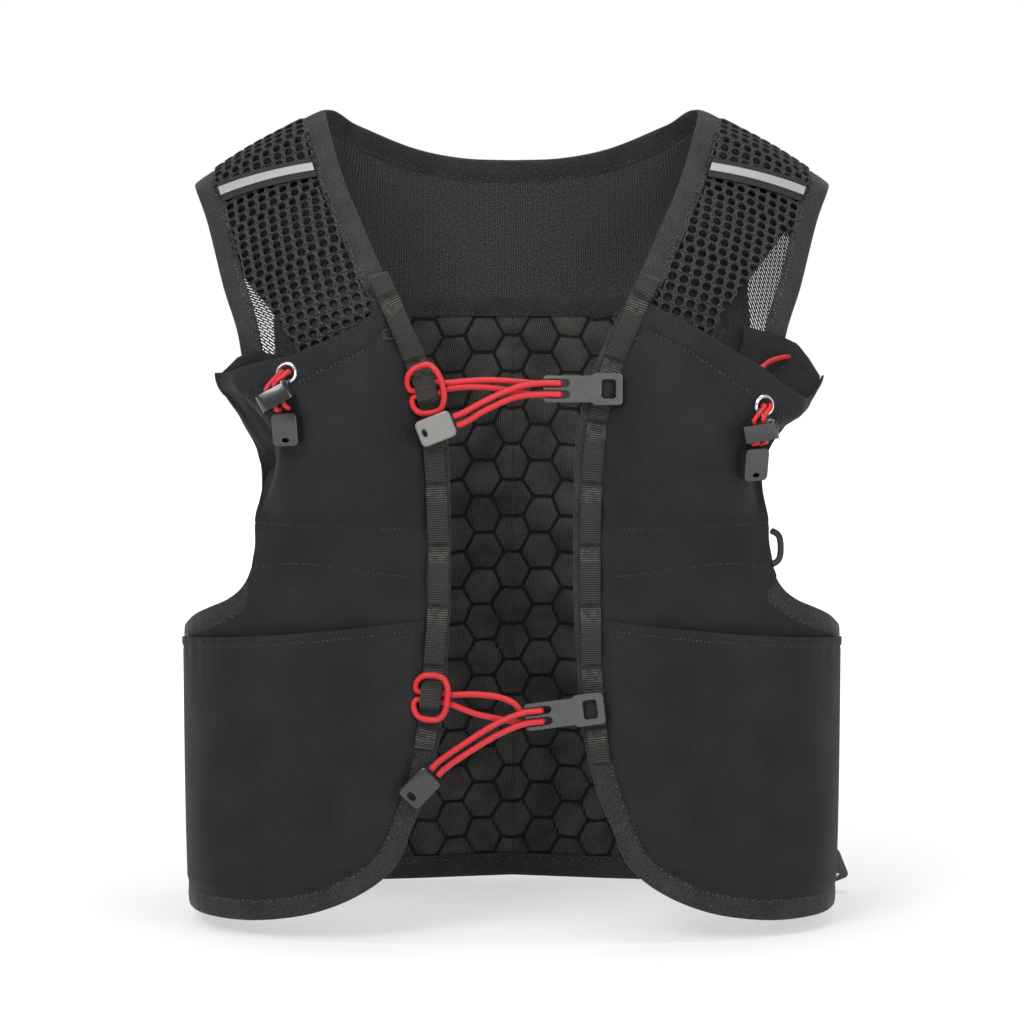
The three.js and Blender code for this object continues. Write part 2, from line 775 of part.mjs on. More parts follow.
for (const { side, s } of SIDES) {
  const point = (u, v, off) => {
    const k = v * STRAP_ROWS;
    const share = strapShare(k, SIDE_INSET);
    return strapPoint(s, k, between(share, 1 - share, u), off);
  };
  clothSolid(`shoulder_strap_${side}`, evenly(5), evenly(10), point, STRAP_MESH, MAT.mesh);
}

// Reflective strips on their black tape, across each strap
for (const { side, s } of SIDES) {
  const band = (name, width, thickness, lift, material) => {
    const sections = evenly(8).map((t) => (across, off) => {
      const k = between(STRIP_INNER_ROW, STRIP_OUTER_ROW, t);
      const share = strapShare(k, SIDE_INSET + 0.5);
      const w = between(share, 1 - share, t);
      const step = strapPoint(1, k + 0.5, w).distanceTo(strapPoint(1, k - 0.5, w));
      return strapPoint(s, k + ((across - 0.5) * width) / step, w, lift + off);
    });
    bandSolid(name, sections, thickness, material);
  };
  const tapeLift = STRAP_MESH / 2 + STRAP_TAPE_GAP + TAPE_WALL / 2;
  const stripLift = tapeLift + TAPE_WALL / 2 + LAYER_GAP + STRIP_WALL / 2;
  band(`strip_tape_${side}`, TAPE_WIDTH, TAPE_WALL, tapeLift, MAT.tape);
  band(`reflective_strip_${side}`, STRIP_WIDTH, STRIP_WALL, stripLift, MAT.silver);
}

// Yoke: from the shoulder seam and the collar down to the seam tape
const NECK_SHARE = 2 / 6;
const COLLAR_BLEND = 0.62;

function yokeSurface(u, v) {
  const top = smoothRow(YOKE_TOP, ["x", "y", "z"], u * (YOKE_TOP.length - 1));
  const p0 = V(top.x, top.y, top.z);
  const z1 = TAPE_TOP + EDGE_GAP;
  const p1 = bodyPoint(1, between(backArmhole(1)[0], middle(z1), u), z1);
  const reach = p0.distanceTo(p1) * 1.15;
  const blend = THREE.MathUtils.smoothstep(u, NECK_SHARE * 0.6, COLLAR_BLEND);
  const t0 = V(0, between(1, 0.35, blend), between(-0.05, -1, blend)).normalize().multiplyScalar(reach);
  const t1 = V(0, 0.08, -1).multiplyScalar(reach);
  const v2 = v * v;
  const v3 = v2 * v;
  const p = p0.multiplyScalar(2 * v3 - 3 * v2 + 1)
    .addScaledVector(t0, v3 - 2 * v2 + v)
    .addScaledVector(p1, 3 * v2 - 2 * v3)
    .addScaledVector(t1, v3 - v2);
  return p;
}

function yokePoint(s, u, v, off = 0) {
  const p = yokeSurface(u, v);
  if (off === 0) return mirrored(p, s);
  const h = 0.01;
  const across = yokeSurface(Math.min(1, u + h), v).sub(yokeSurface(Math.max(0, u - h), v));
  const down = yokeSurface(u, Math.min(1, v + h)).sub(yokeSurface(u, Math.max(0, v - h)));
  return mirrored(p.addScaledVector(down.cross(across).normalize(), off), s);
}

const YOKE_SAMPLES = 60;
const collarLine = [];
const yokeOuterLine = [];
for (let i = 0; i <= YOKE_SAMPLES; i += 1) {
  collarLine.push(yokePoint(1, between(NECK_SHARE, 1, i / YOKE_SAMPLES), 0));
  yokeOuterLine.push(yokePoint(1, 0, i / YOKE_SAMPLES));
}

const distanceToLine = (p, line) => Math.min(...line.map((q) => q.distanceTo(p)));

// Share down the yoke where it is a distance away from the collar line.
function collarInset(u, distance, least) {
  let low = least;
  let high = 0.5;
  if (distanceToLine(yokePoint(1, u, low), collarLine) >= distance) return low;
  for (let i = 0; i < 16; i += 1) {
    const mid = (low + high) / 2;
    if (distanceToLine(yokePoint(1, u, mid), collarLine) < distance) low = mid;
    else high = mid;
  }
  return high;
}

function outerInset(v, distance) {
  let low = 0;
  let high = 0.4;
  for (let i = 0; i < 16; i += 1) {
    const mid = (low + high) / 2;
    if (distanceToLine(yokePoint(1, mid, v), yokeOuterLine) < distance) low = mid;
    else high = mid;
  }
  return high;
}

{
  const point = (u, v, off) => {
    const s = u < 0.5 ? -1 : 1;
    const share = between(outerInset(v, ARM_INSET), 1, 1 - Math.abs(2 * u - 1));
    const v0 = collarInset(share, BINDING_WIDTH + COLLAR_GAP, 0.012);
    return yokePoint(s, share, between(v0, 1, v), off);
  };
  clothSolid("back_yoke", evenly(12), evenly(7), point, YOKE_WALL, MAT.knit);
}

// Neck binding: up one strap's inner edge, round the collar, down the other
{
  const half = [];
  for (const t of evenly(12)) {
    const k = t * STRAP_ROWS;
    half.push((s) => (w, off) => strapPoint(s, k, w * strapShare(k, BINDING_WIDTH), off));
  }
  let seam = NECK_SHARE;
  const neck = yokePoint(1, NECK_SHARE, 0);
  while (yokePoint(1, seam, 0).distanceTo(neck) < BINDING_WIDTH) seam -= 0.002;
  for (const t of evenly(12).slice(1)) {
    const u = between(NECK_SHARE, 1, t);
    const turn = THREE.MathUtils.smoothstep(t, 0, 0.32);
    const inner = between(between(seam, NECK_SHARE, Math.min(1, t / 0.2)), u, turn);
    const down = collarInset(inner, BINDING_WIDTH, 0.004);
    half.push((s) => (w, off) => (w === 0 ? yokePoint(s, u, 0, off) : yokePoint(s, inner, down, off)));
  }
  const sections = [...half.map((h) => h(-1)), ...half.slice(0, -1).reverse().map((h) => h(1))];
  bandSolid("neck_binding", sections, BINDING_WALL, MAT.binding);
}

// Armhole bindings: one ring each, over the front, strap, yoke, back and side
for (const { side, s } of SIDES) {
  const sections = [];
  const flat = (edge, inner) => {
    sections.push((w, off) => bodyPoint(s, ...(w === 0 ? edge : inner), off));
  };
  const frontInner = insetCurve(frontArmhole, BINDING_WIDTH);
  const backInner = insetCurve(backArmhole, -BINDING_WIDTH);
  for (const t of evenly(ARMHOLE_STEPS)) flat(frontArmhole(t), frontInner(t));
  for (const t of evenly(8).slice(1)) {
    const k = t * STRAP_ROWS;
    sections.push((w, off) => strapPoint(s, k, 1 - w * strapShare(k, BINDING_WIDTH), off));
  }
  for (const v of evenly(7).slice(1)) {
    sections.push((w, off) => yokePoint(s, w * outerInset(v, BINDING_WIDTH), v, off));
  }
  for (const t of evenly(BACK_ARMHOLE_STEPS)) flat(backArmhole(1 - t), backInner(1 - t));
  for (const t of [0.8, 0.6, 0.4, 0.2]) {
    const z = sideTopZ(t);
    const low = z - BINDING_WIDTH;
    flat([between(SEAM_ALONG, backSeam(z), t), z], [between(SEAM_ALONG, backSeam(low), t), low]);
  }
  bandSolid(`armhole_binding_${side}`, sections, BINDING_WALL, MAT.binding, true);
}

// Pockets begin beside the webbing and run down to the hem's binding.
const pocketEdge = insetCurve(frontEdge, (t) => between(POCKET_INSET, SIDE_INSET, THREE.MathUtils.smoothstep(t, 0.5, 0.7)));

// Chest pockets: a front wall that stands out, and the back wall of its mouth
function chestRow(v) {
  return smoothRow(CHEST_POCKET, ["zi", "zo", "xo", "bulge", "edge"], v * (CHEST_POCKET.length - 1));
}

function chestFlat(side, u, v) {
  const r = chestRow(v);
  const dip = RIM_DIP[side] * Math.sin(Math.PI * Math.min(1, u / 0.9)) * THREE.MathUtils.smoothstep(v, 0.6, 1);
  const z = between(r.zi, r.zo, u) - dip;
  const inner = pocketEdge(shareAtZ(pocketEdge, r.zi));
  const outer = alongAt(Math.min(r.xo, 150), r.zo);
  return [between(inner[0], outer, u), z];
}

function chestOff(u, v) {
  const r = chestRow(v);
  const section = valueAt(POCKET_SECTION, "u", u, "depth");
  const toEdge = THREE.MathUtils.smoothstep(u, 0.8, 1);
  const overStrap = POCKET_RIM_LIFT * THREE.MathUtils.smoothstep(v, 0.8, 1);
  return POCKET_BASE + overStrap + r.bulge * between(section, r.edge, toEdge);
}

function chestPoint(side, s, u, v, more = 0) {
  return bodyPoint(s, ...chestFlat(side, u, v), chestOff(u, v) + more);
}

for (const { side, s } of SIDES) {
  const front = (u, v, off) => chestPoint(side, s, u, v, off);
  clothSolid(`chest_pocket_${side}`, evenly(9), evenly(11), front, POCKET_WALL, MAT.shell);
  const back = (u, v, off) => {
    const row = between(POCKET_BACK_ROW / (CHEST_POCKET.length - 1), 1, v);
    const share = between(POCKET_BACK_FROM, 1, u);
    const behind = Math.max(POCKET_BASE + 0.3, chestOff(1, row) - POCKET_WALL - LAYER_GAP);
    return bodyPoint(s, ...chestFlat(side, share, row), between(POCKET_BASE + 0.3, behind, u * u) + off);
  };
  clothSolid(`pocket_back_${side}`, evenly(3), evenly(5), back, POCKET_WALL, MAT.shell);
}

// Lower pockets: flat cloth over the whole lower front, open along the top
const pocketLeft = cut(pocketEdge, 0, CORNER_SHARE);
const lowerFrom = shareAtZ(pocketLeft, LOWER_TOP[0].z) * CORNER_SHARE;
const lowerLeft = reverse(cut(pocketEdge, lowerFrom, CORNER_SHARE));
const lowerBottom = cut(pocketEdge, CORNER_SHARE, 1);
const lowerRight = (t) => {
  const z = between(lowerBottom(1)[1], LOWER_TOP[1].z, t);
  return [SEAM_ALONG - EDGE_GAP, z];
};
const lowerPatch = coons(lowerLeft, lowerBottom, lowerRight, lineCurve(lowerLeft(1), lowerRight(1), 1));

function lowerOff(u, v) {
  const across = Math.sin(Math.PI * u) ** 0.7;
  return LOWER_BASE + LOWER_BULGE * across * THREE.MathUtils.smoothstep(v, -0.1, 0.9);
}

for (const { side, s } of SIDES) {
  const point = (u, v, off) => bodyPoint(s, ...lowerPatch(u, v), lowerOff(u, v) + off);
  clothSolid(`lower_pocket_${side}`, evenly(FRONT_COLUMNS), evenly(8), point, POCKET_WALL, MAT.shell);
}

// Webbing: tacked flat at even steps, with low loops between the tacks
const WEBBING_BASE = BINDING_WALL / 2 + LAYER_GAP + WEBBING_WALL / 2;

function webbingLift(side, z) {
  const smooth = THREE.MathUtils.smoothstep;
  const rise = CHAIN_TOP_RISE * smooth(z, 294, 304);
  const [heights, lift, flat, end] = side === "left"
    ? [Object.values(HITCH_Z), HITCH_LIFT, 4.2, 8.8]
    : [Object.values(HOOK_Z), HOOK_LIFT, 5, 9.2];
  for (const height of heights) {
    if (Math.abs(z - height) < TACK_PITCH / 2) return lift * (1 - smooth(Math.abs(z - height), flat, end));
  }
  const n = (TACK_FIRST - z) / TACK_PITCH;
  const inside = n > 0 && n < TACKS - 1;
  return rise + (inside ? WEBBING_LIFT * Math.sin(Math.PI * n) ** 2 : 0);
}

function webbingPoint(side, s, z, across, off) {
  const rows = side === "left" ? CHAIN_LEFT : CHAIN_RIGHT;
  const h = 1;
  const x = (q) => valueAt(rows, "z", q, "x");
  const slope = (x(z + h) - x(z - h)) / (2 * h);
  const l = Math.hypot(1, slope);
  return bodyPoint(s, alongAt(x(z), z) + across / l, z - (across * slope) / l, off);
}

function webbingHeights(side) {
  const rows = side === "left" ? CHAIN_LEFT : CHAIN_RIGHT;
  const heights = [rows[0].z];
  for (let n = 0; n < TACKS; n += 1) {
    const tack = TACK_FIRST - n * TACK_PITCH;
    const busy = [1, TACKS - 2].includes(n) ? 10 : 4;
    const steps = n < TACKS - 1 ? busy : 1;
    for (let i = 0; i < steps; i += 1) heights.push(tack - (i / steps) * TACK_PITCH);
  }
  heights.push(rows[rows.length - 1].z);
  return heights;
}

for (const { side, s } of SIDES) {
  const sections = webbingHeights(side).map((z) => (w, off) => {
    const lift = WEBBING_BASE + webbingLift(side, z);
    return webbingPoint(side, s, z, (w - 0.5) * WEBBING_WIDTH, lift + off);
  });
  bandSolid(`daisy_chain_${side}`, sections, WEBBING_WALL, MAT.webbing);
}

// Sternum hooks: a slotted plate, its frame in front of the webbing and a
// tongue that passes behind the webbing's loop
const wasm = await Module();
wasm.setup();

function manifoldOf(geometry, matrix) {
  const plain = new THREE.BufferGeometry();
  plain.setAttribute("position", geometry.attributes.position);
  if (geometry.index) plain.setIndex(geometry.index);
  const merged = mergeVertices(plain, 1e-4);
  merged.applyMatrix4(matrix ?? new THREE.Matrix4());
  return new wasm.Manifold(new wasm.Mesh({
    numProp: 3,
    vertProperties: merged.attributes.position.array,
    triVerts: Uint32Array.from(merged.index.array),
  }));
}

function geometryOf(manifold) {
  const mesh = manifold.getMesh();
  const geometry = new THREE.BufferGeometry();
  geometry.setAttribute("position", new THREE.BufferAttribute(new Float32Array(mesh.vertProperties), 3));
  geometry.setIndex([...mesh.triVerts]);
  geometry.computeVertexNormals();
  return geometry;
}

function hookShape() {
  const shape = new THREE.Shape();
  const left = -HOOK_LENGTH / 2;
  const right = HOOK_LENGTH / 2;
  const plate = HOOK_HEIGHT / 2;
  const frame = HOOK_FRAME_HEIGHT / 2;
  const step = right - HOOK_FRAME;
  const slotEnd = left + HOOK_SLOT_LENGTH;
  shape.moveTo(left + 1, -plate);
  shape.lineTo(step - 1.5, -plate);
  shape.lineTo(step, -frame);
  shape.lineTo(right - 2, -frame);
  shape.absarc(right - 2, -frame + 2, 2, -Math.PI / 2, 0, false);
  shape.lineTo(right, frame - 2);
  shape.absarc(right - 2, frame - 2, 2, 0, Math.PI / 2, false);
  shape.lineTo(step, frame);
  shape.lineTo(step - 1.5, plate);
  shape.lineTo(left + 1, plate);
  shape.lineTo(left, plate - 1);
  for (const z of [HOOK_SLOT_SPACING / 2, -HOOK_SLOT_SPACING / 2]) {
    const r = HOOK_SLOT / 2;
    shape.lineTo(left, z + r);
    shape.lineTo(slotEnd - r, z + r);
    shape.absarc(slotEnd - r, z, r, Math.PI / 2, -Math.PI / 2, true);
    shape.lineTo(left, z - r);
  }
  shape.lineTo(left, -plate + 1);
  const hole = roundedRectangle(HOOK_WINDOW.width, HOOK_WINDOW.height, HOOK_WINDOW.radius);
  const moved = new THREE.Path(hole.getPoints(3).map((p) => p.add(new THREE.Vector2(right - HOOK_FRAME / 2, 0))));
  shape.holes.push(moved);
  return shape;
}

function hookFrame(hook) {
  const along = alongAt(hook.x, hook.z);
  const p = bodyPoint(1, along, hook.z, hook.off);
  const outward = p.clone().sub(bodyPoint(1, along, hook.z, 0));
  return frameAt(p, V(1, 0, 0), outward, hook.turn);
}

for (const [name, hook] of Object.entries(HOOKS)) {
  const plate = new THREE.ExtrudeGeometry(hookShape(), { depth: HOOK_WALL, bevelEnabled: false, curveSegments: 3 });
  plate.translate(0, 0, -HOOK_WALL / 2);
  const depth = hook.off - BINDING_WALL / 2 - LAYER_GAP;
  const right = HOOK_LENGTH / 2;
  const wallX = right - HOOK_FRAME - 2;
  const wall = new THREE.BoxGeometry(1.4, HOOK_TONGUE.height, depth)
    .translate(wallX, 0, -depth / 2);
  const tongue = new THREE.BoxGeometry(HOOK_TONGUE.reach, HOOK_TONGUE.height, HOOK_TONGUE.wall)
    .translate(wallX - 0.7 + HOOK_TONGUE.reach / 2, 0, -depth + HOOK_TONGUE.wall / 2);
  const solid = manifoldOf(plate).add(manifoldOf(wall)).add(manifoldOf(tongue));
  const mesh = new THREE.Mesh(geometryOf(solid), new THREE.MeshStandardMaterial(MAT.grey));
  mesh.name = `sternum_hook_${name}`;
  mesh.applyMatrix4(hookFrame(hook));
  vest.add(mesh);
}

// Sternum cords: a hitch round the webbing, two strands to the hook's slots
const HITCH = [
  { across: -7, up: 2.4, off: 3.8 },
  { across: -7.6, up: 6, off: 4.6 },
  { across: -5, up: 9.8, off: 5.9 },
  { across: 0, up: 10.9, off: 6.3 },
  { across: 5.2, up: 9.8, off: 6.5 },
  { across: 7.8, up: 5.5, off: 7.2 },
];
const UNDER = { up: 2.1, off: 3.6 };
const STRANDS = {
  upper: [
    { x: -21, z: 261.5, off: 4.6 },
    { x: -6, z: 263, off: 5.4 },
    { x: 8, z: 262.2, off: 5.9 },
  ],
  lower: [
    { x: -21, z: 111.5, off: 4.6 },
    { x: -6, z: 109.5, off: 5.4 },
    { x: 1, z: 105.5, off: 5.9 },
  ],
};

function nearFront(x, z, off) {
  const p = bodyPoint(1, alongAt(Math.abs(x), z), z, off);
  return V(x, p.y, p.z);
}

function slotPoint(hook, reach, slot, front) {
  const p = V(-HOOK_LENGTH / 2 + reach, slot * HOOK_SLOT_SPACING / 2, front);
  return p.applyMatrix4(hookFrame(hook));
}

function hitchPoint(height, across, up, off) {
  return webbingPoint("left", -1, height + up, -across, off);
}

for (const [name, height] of Object.entries(HITCH_Z)) {
  const half = (sign) => {
    const route = [];
    route.push(slotPoint(HOOKS[name], HOOK_SLOT_LENGTH - 3.6, sign, -1.9));
    route.push(slotPoint(HOOKS[name], -1, sign, -1.9));
    for (const p of [...STRANDS[name]].reverse()) {
      const below = sign < 0 ? (name === "upper" ? 3.9 : 7.5) : 0;
      route.push(nearFront(p.x, p.z - below, p.off));
    }
    route.push(hitchPoint(height, 15, sign * UNDER.up, UNDER.off));
    route.push(hitchPoint(height, 6, sign * UNDER.up, UNDER.off));
    route.push(hitchPoint(height, 0, sign * UNDER.up, UNDER.off));
    for (const p of HITCH) route.push(hitchPoint(height, p.across, sign * p.up, p.off));
    return route;
  };
  const bight = hitchPoint(height, 8.3, 0, 7.6);
  const route = [...half(1), bight, ...half(-1).reverse()];
  cordSolid(`sternum_cord_${name}`, route, CORD, 40, MAT.red);
}

// Tails of the sternum cords, from the hook's slots to the moulded end
const CORD_ENDS = {
  upper: { x: -37, z: 240.3, off: 10.5, turn: 0.38 },
  lower: { x: -45, z: 66, off: 9.5, turn: 0.8 },
};
const TAILS = {
  upper: [
    [{ x: 2, z: 259.8, off: 11 }, { x: -14, z: 253, off: 11.5 }],
    [{ x: 2, z: 255.3, off: 11 }, { x: -14, z: 248.5, off: 11.5 }],
  ],
  lower: [
    [{ x: -6, z: 98.3, off: 10.5 }, { x: -22, z: 88.6, off: 10.5 }],
    [{ x: -6, z: 92.6, off: 10.5 }, { x: -22, z: 83, off: 10.5 }],
  ],
};
const TAIL_SPACING = 4.6;

function endFrame(end) {
  const p = nearFront(end.x, end.z, end.off);
  return frameAt(p, V(1, 0, 0), V(0, -1, 0), end.turn);
}

function endShape(size) {
  const shape = roundedRectangle(size.length, size.width, size.radius);
  const hole = new THREE.Path();
  hole.absellipse(-size.length * 0.32, 0, size.hole, size.hole * 1.8, 0, 2 * Math.PI, true);
  shape.holes.push(hole);
  return shape;
}

for (const [name, end] of Object.entries(CORD_ENDS)) {
  mouldedSolid(`cord_end_${name}`, endShape(CORD_END), CORD_END.wall, endFrame(end), MAT.endcap, 0.8);
  for (const [i, letter] of ["a", "b"].entries()) {
    const sign = i === 0 ? 1 : -1;
    const entry = (reach) => V(CORD_END.length / 2 + reach, (sign * TAIL_SPACING) / 2, 0).applyMatrix4(endFrame(end));
    const route = [
      slotPoint(HOOKS[name], HOOK_SLOT_LENGTH - 4.4, sign, 1.9),
      slotPoint(HOOKS[name], -1, sign, 1.9),
      ...TAILS[name][i].map((p) => nearFront(p.x, p.z, p.off)),
      entry(6),
      entry(0.9),
    ];
    cordSolid(`cord_tail_${name}_${letter}`, route, CORD, 7, MAT.red);
  }
}

// Cinch cords of the chest pockets: eyelet, lock and moulded end
const CINCHES = {
  left: { eyelet: { x: 109, z: 268 }, lock: { x: 112, z: 256.5, turn: 0.5 }, end: { x: 107, z: 242, turn: 1.65 } },
  right: { eyelet: { x: 122, z: 252.5 }, lock: { x: 117, z: 241.5, turn: 0.17 }, end: { x: 114.5, z: 225.5, turn: 1.5 } },
};

function onPocket(side, s, x, z, off) {
  let best = null;
  for (let i = 0; i <= 50; i += 1) {
    for (let j = 20; j <= 60; j += 1) {
      const p = chestPoint(side, 1, i / 50, j / 60);
      const e = Math.hypot(p.x - x, p.z - z);
      if (!best || e < best.e) best = { e, u: i / 50, v: j / 60 };
    }
  }
  const h = 0.01;
  const at = (u, v) => chestPoint(side, s, u, v);
  const across = at(best.u + h, best.v).sub(at(best.u - h, best.v));
  const up = at(best.u, best.v + h).sub(at(best.u, best.v - h));
  const normal = across.cross(up).normalize().multiplyScalar(s);
  const p = V(s * x, at(best.u, best.v).y, z);
  return { point: p.addScaledVector(normal, off), normal };
}

for (const { side, s } of SIDES) {
  const place = CINCHES[side];
  const ring = [
    new THREE.Vector2(EYELET.inner, -EYELET.wall / 2),
    new THREE.Vector2(EYELET.outer, -EYELET.wall / 2),
    new THREE.Vector2(EYELET.outer, 0),
    new THREE.Vector2((EYELET.outer + EYELET.inner) / 2, EYELET.wall / 2),
    new THREE.Vector2(EYELET.inner, 0),
    new THREE.Vector2(EYELET.inner, -EYELET.wall / 2),
  ];
  const lift = POCKET_WALL / 2 + 0.4 + EYELET.wall / 2;
  const seat = onPocket(side, s, place.eyelet.x, place.eyelet.z, lift);
  const geometry = new THREE.LatheGeometry(ring, 14).rotateX(Math.PI / 2);
  const eyelet = new THREE.Mesh(geometry, new THREE.MeshStandardMaterial(MAT.metal));
  eyelet.name = `eyelet_${side}`;
  eyelet.applyMatrix4(frameAt(seat.point, V(1, 0, 0), seat.normal));
  vest.add(eyelet);

  const lockLift = POCKET_WALL / 2 + 3.4 + LOCK.wall / 2;
  const lock = onPocket(side, s, place.lock.x, place.lock.z, lockLift);
  const across = V(Math.cos(place.lock.turn), 0, Math.sin(place.lock.turn));
  const down = across.clone().cross(lock.normal).normalize();
  const lockShape = roundedRectangle(LOCK.length, LOCK.wall, LOCK.radius);
  for (const sign of [-1, 1]) {
    const bore = new THREE.Path();
    bore.absarc((sign * LOCK.spacing) / 2, 0, LOCK.bore / 2, 0, 2 * Math.PI, true);
    lockShape.holes.push(bore);
  }
  const lockFrame = frameAt(lock.point, across, down);
  mouldedSolid(`cord_lock_${side}`, lockShape, LOCK.height, lockFrame, MAT.black);

  const endLift = POCKET_WALL / 2 + 2.4 + CINCH_END.wall / 2;
  const end = onPocket(side, s, place.end.x, place.end.z, endLift);
  const endPlace = frameAt(end.point, V(1, 0, 0), end.normal, place.end.turn);
  mouldedSolid(`cinch_end_${side}`, endShape(CINCH_END), CINCH_END.wall, endPlace, MAT.endcap);

  for (const [i, letter] of ["a", "b"].entries()) {
    const sign = i === 0 ? -1 : 1;
    const start = V(sign * 1.6, 0, 0.2).applyMatrix4(frameAt(seat.point, V(1, 0, 0), seat.normal));
    const out = V(sign * 1.6, 0, 3).applyMatrix4(frameAt(seat.point, V(1, 0, 0), seat.normal));
    const bore = (h) => V((sign * LOCK.spacing) / 2, 0, h).applyMatrix4(lockFrame);
    const top = down.z > 0 ? 1 : -1;
    const entry = (reach) => V(CINCH_END.length / 2 + reach, -(sign * LOCK.spacing) / 2, 0).applyMatrix4(endPlace);
    const half = (top * LOCK.height) / 2;
    const route = [start, out, bore(half * 1.3), bore(half), bore(-half), bore(-half * 1.3), entry(1.4)];
    cordSolid(`cinch_cord_${side}_${letter}`, route, CINCH_CORD, 8, MAT.red);
  }
}

// Right side: the elastic in the open mouth, a loop at the armhole and a
// moulded end on its short cord near the hem
const MOUTH_CORD = [
  { u: 0.74, v: 0.965, off: -2.2 },
  { u: 0.82, v: 0.985, off: -4.8 },
  { u: 0.89, v: 0.99, off: -4.6 },
];
cordSolid("mouth_cord_right", MOUTH_CORD.map((p) => chestPoint("right", 1, p.u, p.v, p.off)), MOUTH_CORD_SIZE, 5, MAT.red);

cordSolid("side_loop_right", SIDE_LOOP.map((p) => V(p.x, p.y, p.z)), SIDE_LOOP_CORD, 10, MAT.black);

const sidePoint = (p) => V(p.x, p.y, p.z);
const sidePlace = frameAt(sidePoint(SIDE_END), V(1, 0, 0), V(0, -1, 0), SIDE_END.turn);
mouldedSolid("side_end_right", endShape(CINCH_END), CINCH_END.wall, sidePlace, MAT.endcap);
const sideEntry = V(CINCH_END.length / 2 + 0.9, 0, 0).applyMatrix4(sidePlace);
cordSolid("side_cord_right", [...SIDE_CORD.map(sidePoint), sideEntry], CORD, 6, MAT.black);

vest.updateMatrixWorld(true);
export default vest;
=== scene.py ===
import math

import bpy
import numpy as np
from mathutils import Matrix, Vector


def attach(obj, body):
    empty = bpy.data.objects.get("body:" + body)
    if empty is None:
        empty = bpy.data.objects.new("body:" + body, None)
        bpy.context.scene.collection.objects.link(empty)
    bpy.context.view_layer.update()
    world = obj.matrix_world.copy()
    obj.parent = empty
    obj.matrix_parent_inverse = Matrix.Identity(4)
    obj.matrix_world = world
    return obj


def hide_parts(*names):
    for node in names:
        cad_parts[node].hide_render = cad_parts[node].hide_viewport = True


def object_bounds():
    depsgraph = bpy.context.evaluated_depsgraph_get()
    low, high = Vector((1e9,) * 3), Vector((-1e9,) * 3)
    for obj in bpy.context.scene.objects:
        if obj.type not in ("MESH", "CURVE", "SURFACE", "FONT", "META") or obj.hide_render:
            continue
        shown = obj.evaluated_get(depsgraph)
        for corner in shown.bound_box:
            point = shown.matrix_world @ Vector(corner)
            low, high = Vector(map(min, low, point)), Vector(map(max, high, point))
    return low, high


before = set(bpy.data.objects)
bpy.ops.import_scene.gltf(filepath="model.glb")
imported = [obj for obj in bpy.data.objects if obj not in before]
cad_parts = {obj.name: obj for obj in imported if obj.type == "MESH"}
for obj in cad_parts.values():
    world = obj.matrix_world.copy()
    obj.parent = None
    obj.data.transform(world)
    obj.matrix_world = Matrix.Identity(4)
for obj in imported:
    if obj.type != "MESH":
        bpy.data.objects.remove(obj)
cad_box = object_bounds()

# Camera: a long lens in front of the chest, four degrees above the level.
CAMERA_DISTANCE = 2.0
CAMERA_RISE = math.radians(4)
CAMERA_LENS = 136.7
CAMERA_TARGET = Vector((0, 0, -0.179))

scene = bpy.context.scene
camera = bpy.data.objects.new("camera", bpy.data.cameras.new("camera"))
camera.data.lens = CAMERA_LENS
camera.data.sensor_width = 36
reach = Vector((0, -math.cos(CAMERA_RISE), math.sin(CAMERA_RISE))) * CAMERA_DISTANCE
camera.location = CAMERA_TARGET + reach
camera.rotation_euler = (math.pi / 2 - CAMERA_RISE, 0, 0)
scene.collection.objects.link(camera)
scene.camera = camera
scene.view_settings.view_transform = "Standard"

# Front panels: thin stretch cloth of each front, cut to the opening, the hem
# and the armhole, and sewn at the side seam. All tables are in millimetres
# above the hem line, and the shoulders rest at SHOULDER_HEIGHT.
SHOULDER_HEIGHT = 372.0
PANEL_WALL = 1.4
BINDING_WALL = 2.6
BINDING_WIDTH = 12.0
TUCK = 10.8
EDGE_GAP = 0.5
SHARP_ANGLE = 55
SIDE_INSET = BINDING_WIDTH + EDGE_GAP


class Table:
    """Rows with named columns, read smoothly between the rows."""

    def __init__(self, columns, rows):
        self.columns = columns.split()
        self.rows = np.array(rows, float)

    def column(self, name):
        return self.rows[:, self.columns.index(name)]

    def smooth(self, position):
        position = np.asarray(position, float)
        last = len(self.rows) - 1
        i = np.clip(np.floor(position).astype(int), 0, last - 1)
        t = (position - i)[..., None]
        row = self.rows
        p1, p2 = row[i], row[i + 1]
        p0 = np.where((i > 0)[..., None], row[np.maximum(i - 1, 0)], 2 * p1 - p2)
        p3 = np.where((i < last - 1)[..., None], row[np.minimum(i + 2, last)], 2 * p2 - p1)
        m1 = (p2 - p0) / 2
        m2 = (p3 - p1) / 2
        t2, t3 = t * t, t * t * t
        return ((2 * t3 - 3 * t2 + 1) * p1 + (t3 - 2 * t2 + t) * m1
                + (3 * t2 - 2 * t3) * p2 + (t3 - t2) * m2)

    def at(self, column, value, wanted):
        values = self.column(column)
        places = np.arange(len(values), dtype=float)
        if values[-1] < values[0]:
            values, places = values[::-1], places[::-1]
        position = np.interp(value, values, places)
        return self.smooth(position)[..., self.columns.index(wanted)]


def between(a, b, t):
    return a + (b - a) * t


def ease(value, low, high):
    t = np.clip((np.asarray(value, float) - low) / (high - low), 0, 1)
    return t * t * (3 - 2 * t)


